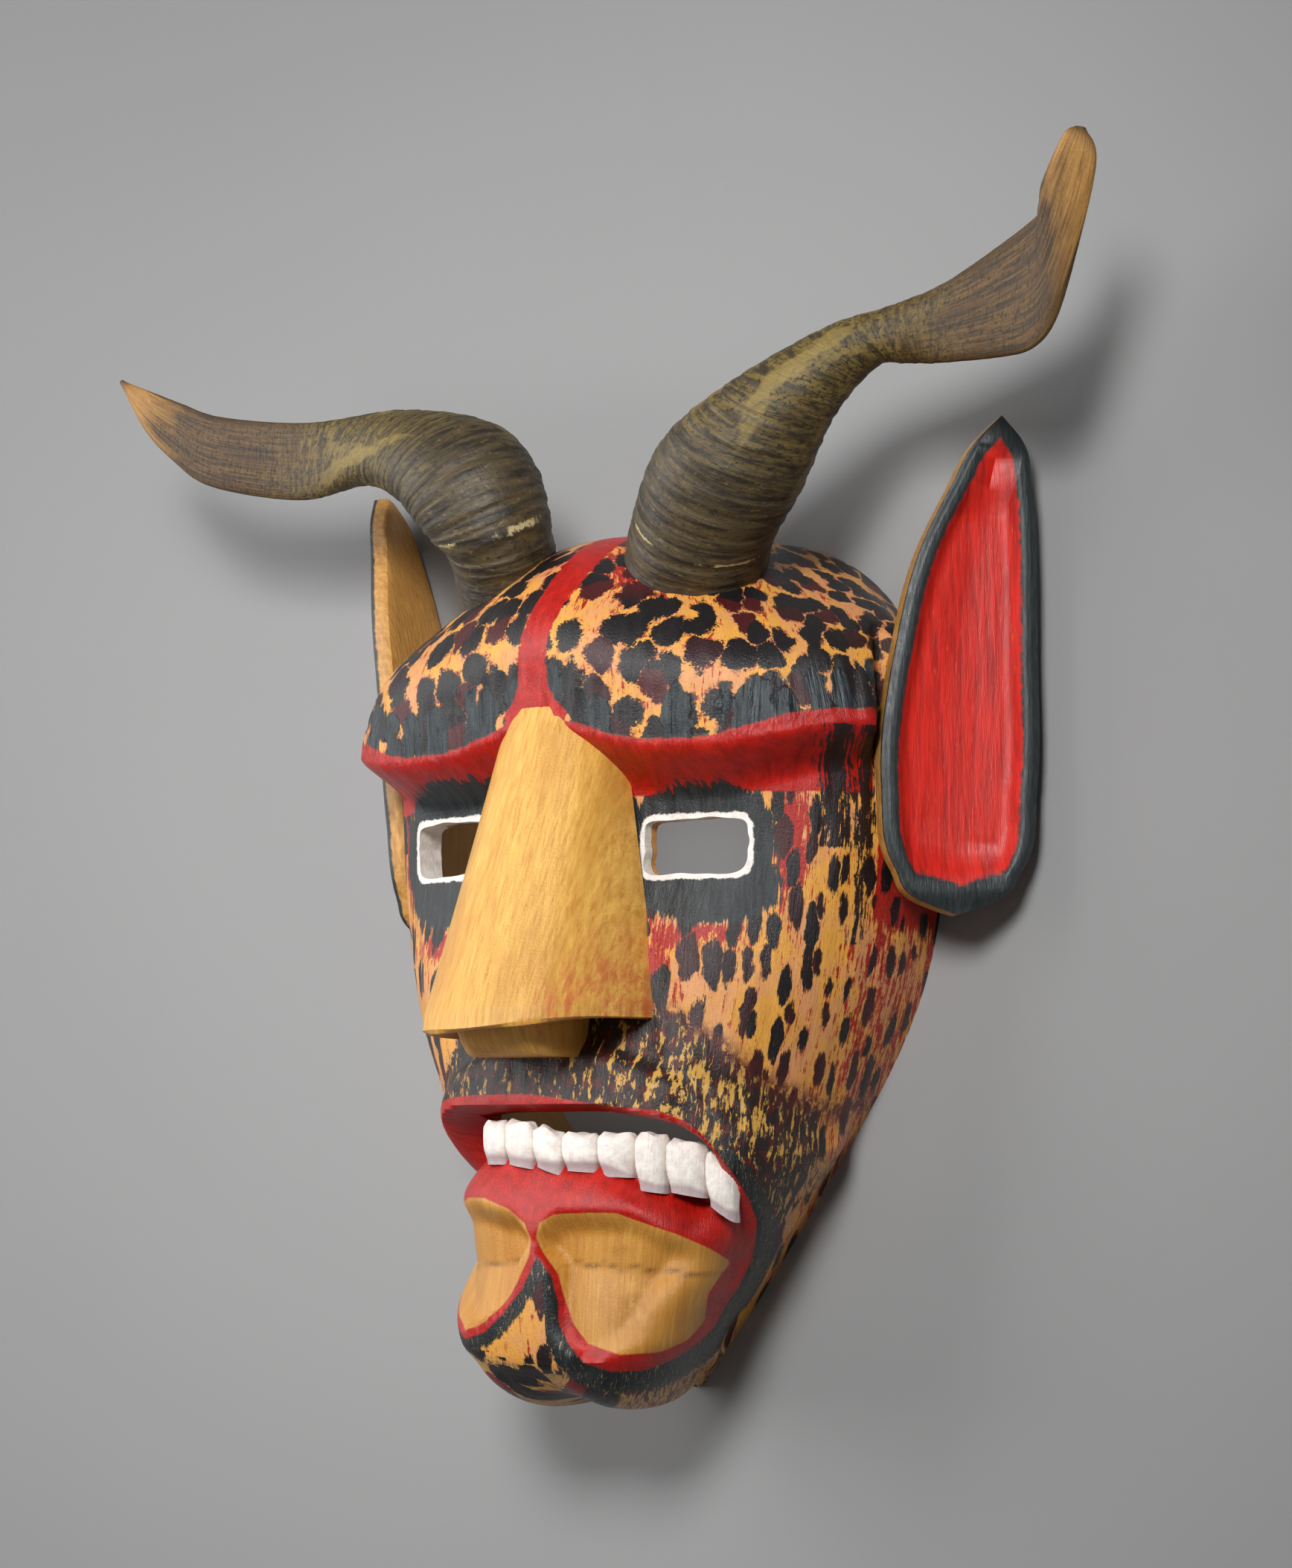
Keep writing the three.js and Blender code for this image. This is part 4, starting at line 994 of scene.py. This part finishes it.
RIGHT_HORN = [
    [-52, 157.5, 48, -26.5, 171.5, 32, 19],
    [-48, 179, 61.5, -22, 186, 44.5, 19],
    [-50, 184, 67.5, -21, 195.5, 48.5, 18],
    [-55, 191.5, 71, -24, 207.5, 51, 16],
    [-64, 200, 69.5, -36, 219, 52.5, 13],
    [-82.5, 206, 61, -69.5, 228, 55, 8.5],
    [-108.5, 204, 56.5, -106, 228, 57.5, 3.8],
    [-143, 211, 60, -139.5, 233, 60, 2.6],
    [-159.5, 221.5, 61.5, -156, 239, 60.5, 2.3],
    [-170.5, 232.5, 62.5, -168, 244, 61.5, 2],
    [-181.5, 248.5, 62.5, -180.5, 249, 61.5, 1],
]


def unit(v):
    """Vectors of length one."""
    return v / np.linalg.norm(v, axis=-1, keepdims=True)


def horn_surface(stations, rings=300, around=64):
    """An oval section carried from edge pair to edge pair: point = middle + a cos + b sin, where a is
    half the way from one edge to the other and b the half-thickness, square to a and to the path.
    The radius swells a little at each growth ring."""
    table = np.array(stations, float)
    places = np.arange(len(table))
    t = np.linspace(0, len(table) - 1, rings)
    values = np.stack([along(table[:, k], t, places) for k in range(7)], 1)
    right, left, thick = values[:, :3], values[:, 3:6], values[:, 6:]
    middle = (right + left) / 2
    a = (left - right) / 2
    ahead = unit(np.gradient(middle, axis=0))
    b = unit(np.cross(ahead, a)) * thick
    length = np.concatenate([[0], np.cumsum(np.linalg.norm(np.diff(middle, axis=0), axis=1))])
    angle = np.linspace(0, 2 * math.pi, around + 1)
    L, G = np.meshgrid(length, angle, indexing="ij")
    flat = smooth(1.3, 3.5, np.linalg.norm(a, axis=1)[:, None] / thick)
    drift = 2.2 * np.sin(G + 0.6) + 1.2 * np.sin(2 * G)
    wave = np.sin((L + drift) * 0.95 + 1.3 * np.sin(L * 0.17)) + 0.6 * np.sin((L + drift) * 1.83 + 1.1)
    fine = np.sin((L + drift) * 3.9 + 1.2 * np.sin(G + L * 0.1))
    swell = 1 + (0.009 * wave + 0.005 * fine) * (1 - 0.85 * flat)
    dent = 0.35 * flat * np.cos(G) ** 2
    p = middle[:, None] + a[:, None] * (np.cos(G) * swell)[..., None]
    p = p + b[:, None] * (np.sin(G) * swell - dent)[..., None]
    return p, L, G


def horn_mesh(name, stations):
    """The horn's surface, closed by a point at each end and cut off where it meets the head."""
    p, L, G = horn_surface(stations)
    ends = [np.broadcast_to(p[k].mean(0), p[0].shape)[None] for k in (0, -1)]
    made = sheet(name, np.concatenate([ends[0], p, ends[1]]))
    cut_away(made, [head])
    near = nearest(positions(made), p.reshape(-1, 3))[0].astype(int)
    return made, L.reshape(-1)[near], G.reshape(-1)[near], L[-1, 0]


# The head as a plain closed block, to cut the horns' feet to
coarse = np.concatenate([outer[::5, ::4], outer[-1:, ::4]])
head = sheet("head", np.concatenate([coarse, coarse[:, :1]], 1))

horn, put = painter("goat_horn")
field, times, plus, step, stretch, noise, blend, layered, finish = tools(put)
strand = put("ShaderNodeAttribute", settings={"attribute_name": "strand"}).outputs["Vector"]
share = field("share")
rings = noise(stretch(strand, (0.10, 1, 0.10), 12), 0.7, 4, 0.6)
dashes = noise(stretch(strand, (0.45, 1, 0.45), 25), 0.9, 5, 0.7)
lines = noise(stretch(strand, (1, 0.06, 1), 4), 0.8, 5, 0.7)
patches = noise(stretch(strand, (0.5, 0.3, 0.5)), 0.12, 4, 0.6)
base = layered(
    "54462C",
    (rings, 0.40, 0.62, 1, "261E14"),
    (dashes, 0.56, 0.62, 0.8, "1F1A14"),
    (dashes, 0.40, 0.34, 0.5, "857444"),
)
mid = layered(
    "76622C",
    (rings, 0.42, 0.6, 1, "3C3018"),
    (dashes, 0.53, 0.58, 1, "2A2114"),
    (patches, 0.55, 0.62, 0.6, "98813F"),
)
blade = layered(
    "6A4A1A",
    (lines, 0.42, 0.58, 1, "30200A"),
    (dashes, 0.54, 0.60, 0.8, "24180B"),
    (patches, 0.50, 0.60, 0.6, "46300F"),
)
tip = layered("BC8A44", (lines, 0.46, 0.68, 1, "7C5022"), (patches, 0.56, 0.64, 0.7, "6A4220"))
where = plus(share, plus(patches, -0.5), 0.35)
shell = layered(
    base,
    (where, 0.22, 0.40, 1, mid),
    (where, 0.52, 0.66, 1, blade),
    (where, 0.84, 0.94, 1, tip),
    (share, 0.975, 1.0, 0.85, "2A1D12"),
)
# A thin broken cream ring, and filler smeared round the foot
RING_AT = 30.0
from_ring = plus(plus(field("length"), -RING_AT), plus(dashes, -0.5), 3.0)
ring = put("ShaderNodeMath", {0: from_ring}, {"operation": "ABSOLUTE"}).outputs[0]
shell = blend(times(step(ring, 0.55, 0.25), step(patches, 0.50, 0.54)), shell, "B8A878")
filler = plus(field("length"), plus(dashes, -0.5), 14.0)
filler_paint = layered("544A3C", (dashes, 0.4, 0.6, 1, "3A3228"))
shell = layered(shell, (filler, 21.0, 14.0, 0.85, filler_paint))
relief = plus(plus(times(lines, 0.4), dashes, 0.5), rings, 1.0)
finish(shell, step(dashes, 0.3, 0.7, 0.42, 0.58), relief, 0.45, 0.001)

for name, stations in {"left_horn": LEFT_HORN, "right_horn": RIGHT_HORN}.items():
    made, lengths, angles, total = horn_mesh("goat_" + name, stations)
    paint_field(made, "share", lengths / total)
    paint_field(made, "length", lengths)
    paint_place(made, "strand", 20 * np.cos(angles), lengths, 20 * np.sin(angles))
    shade(made.data, 60)
    made.data.materials.append(horn)
    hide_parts(name)
    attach(made, "root")
bpy.data.objects.remove(head)


# The floor, the light and the camera
# The mask lies on its back on a plain pale floor, under soft studio light, seen from the mask's left.

floor_mesh = bpy.data.meshes.new("floor")
FLOOR = 6
corners = [(-FLOOR, -FLOOR, 0), (FLOOR, -FLOOR, 0), (FLOOR, FLOOR, 0), (-FLOOR, FLOOR, 0)]
floor_mesh.from_pydata(corners, [], [(0, 1, 2, 3)])
floor = piece("floor", floor_mesh)
floor_paint, put = painter("pale_floor")
noise, blend = tools(put)[5:7]
dust = noise(put("ShaderNodeTexCoord").outputs["Object"], 3.0, 4, 0.5)
grey = blend(dust, (0.28, 0.28, 0.28, 1), (0.31, 0.31, 0.31, 1))
matt = put("ShaderNodeBsdfPrincipled", {"Base Color": grey, "Roughness": 0.7}).outputs[0]
put("ShaderNodeOutputMaterial", {"Surface": matt})
floor_mesh.materials.append(floor_paint)

world = bpy.data.worlds.new("studio")
world.use_nodes = True
sky = world.node_tree.nodes["Background"]
sky.inputs["Color"].default_value = (1.0, 1.0, 1.0, 1)
sky.inputs["Strength"].default_value = 0.14
bpy.context.scene.world = world
bpy.context.scene.view_settings.view_transform = "Standard"


def placed(right, up, back, at):
    """A matrix that stands a lamp or camera at a place, with its axes along three directions."""
    turned = Matrix([(*row, 0) for row in np.stack([right, up, back], 1).tolist()] + [(0, 0, 0, 1)])
    return Matrix.Translation(at) @ turned


def soft_light(name, at, size, power, spread):
    """A square lamp aimed at the mask, its beam spread over an angle in degrees."""
    data = bpy.data.lights.new(name, "AREA")
    data.size = size
    data.spread = math.radians(spread)
    data.energy = power
    lamp = piece(name, data)
    forward = unit(np.array(at) - np.array([0, 0, AIM_HEIGHT]))
    side = unit(np.cross([0, 1, 0], forward))
    lamp.matrix_world = placed(side, np.cross(forward, side), forward, at)


AIM_HEIGHT = 0.05
soft_light("key", (-1.0, 0.3, 0.7), 1.1, 13.0, 180)
soft_light("front", (0.5, 0.5, 1.3), 0.4, 1.15, 38)

# A faint lamp in the hollow, shining down, so that the floor shows light through the eye holes
glow = bpy.data.lights.new("glow", "AREA")
glow.size = 0.08
glow.energy = 0.03
glow_lamp = piece("glow", glow)
glow_lamp.location = (ORIGIN + np.array([0, 0.085, 0.05])).tolist()
glow_lamp.visible_camera = False

# The photograph's view: 34 degrees round from straight on, 1.19 m away, level with the upper lip
AROUND = math.radians(34)
DISTANCE = 1190.0
# The photograph's longer side and focal length in its pixels, and, for a focal length of 5000, how
# far its middle lies above the eye's level and beside the mask's middle
FOCAL_PIXELS, LONG_SIDE_PIXELS = 5267.0, 2107.0
FOCAL_FITTED, MIDDLE_ABOVE, MIDDLE_BESIDE = 5000, 479, 66
eye = np.array([DISTANCE * math.sin(AROUND), 0, DISTANCE * math.cos(AROUND)])
pitch_up = math.atan(MIDDLE_ABOVE / FOCAL_FITTED)
swing = math.atan(MIDDLE_BESIDE / FOCAL_FITTED * math.cos(pitch_up))
ahead0 = np.array([-math.sin(AROUND), 0, -math.cos(AROUND)])
right0 = np.array([math.cos(AROUND), 0, -math.sin(AROUND)])
ahead1 = math.cos(swing) * ahead0 - math.sin(swing) * right0
right = math.cos(swing) * right0 + math.sin(swing) * ahead0
ahead = math.cos(pitch_up) * ahead1 + math.sin(pitch_up) * np.array([0, 1.0, 0])
up = -math.sin(pitch_up) * ahead1 + math.cos(pitch_up) * np.array([0, 1.0, 0])
camera_data = bpy.data.cameras.new("camera")
SENSOR = 36
camera_data.lens = FOCAL_PIXELS / LONG_SIDE_PIXELS * SENSOR
camera_data.sensor_width = SENSOR
camera = piece("camera", camera_data)
camera.matrix_world = placed(right, up, -ahead, (eye / 1000 + ORIGIN).tolist())
bpy.context.scene.camera = camera
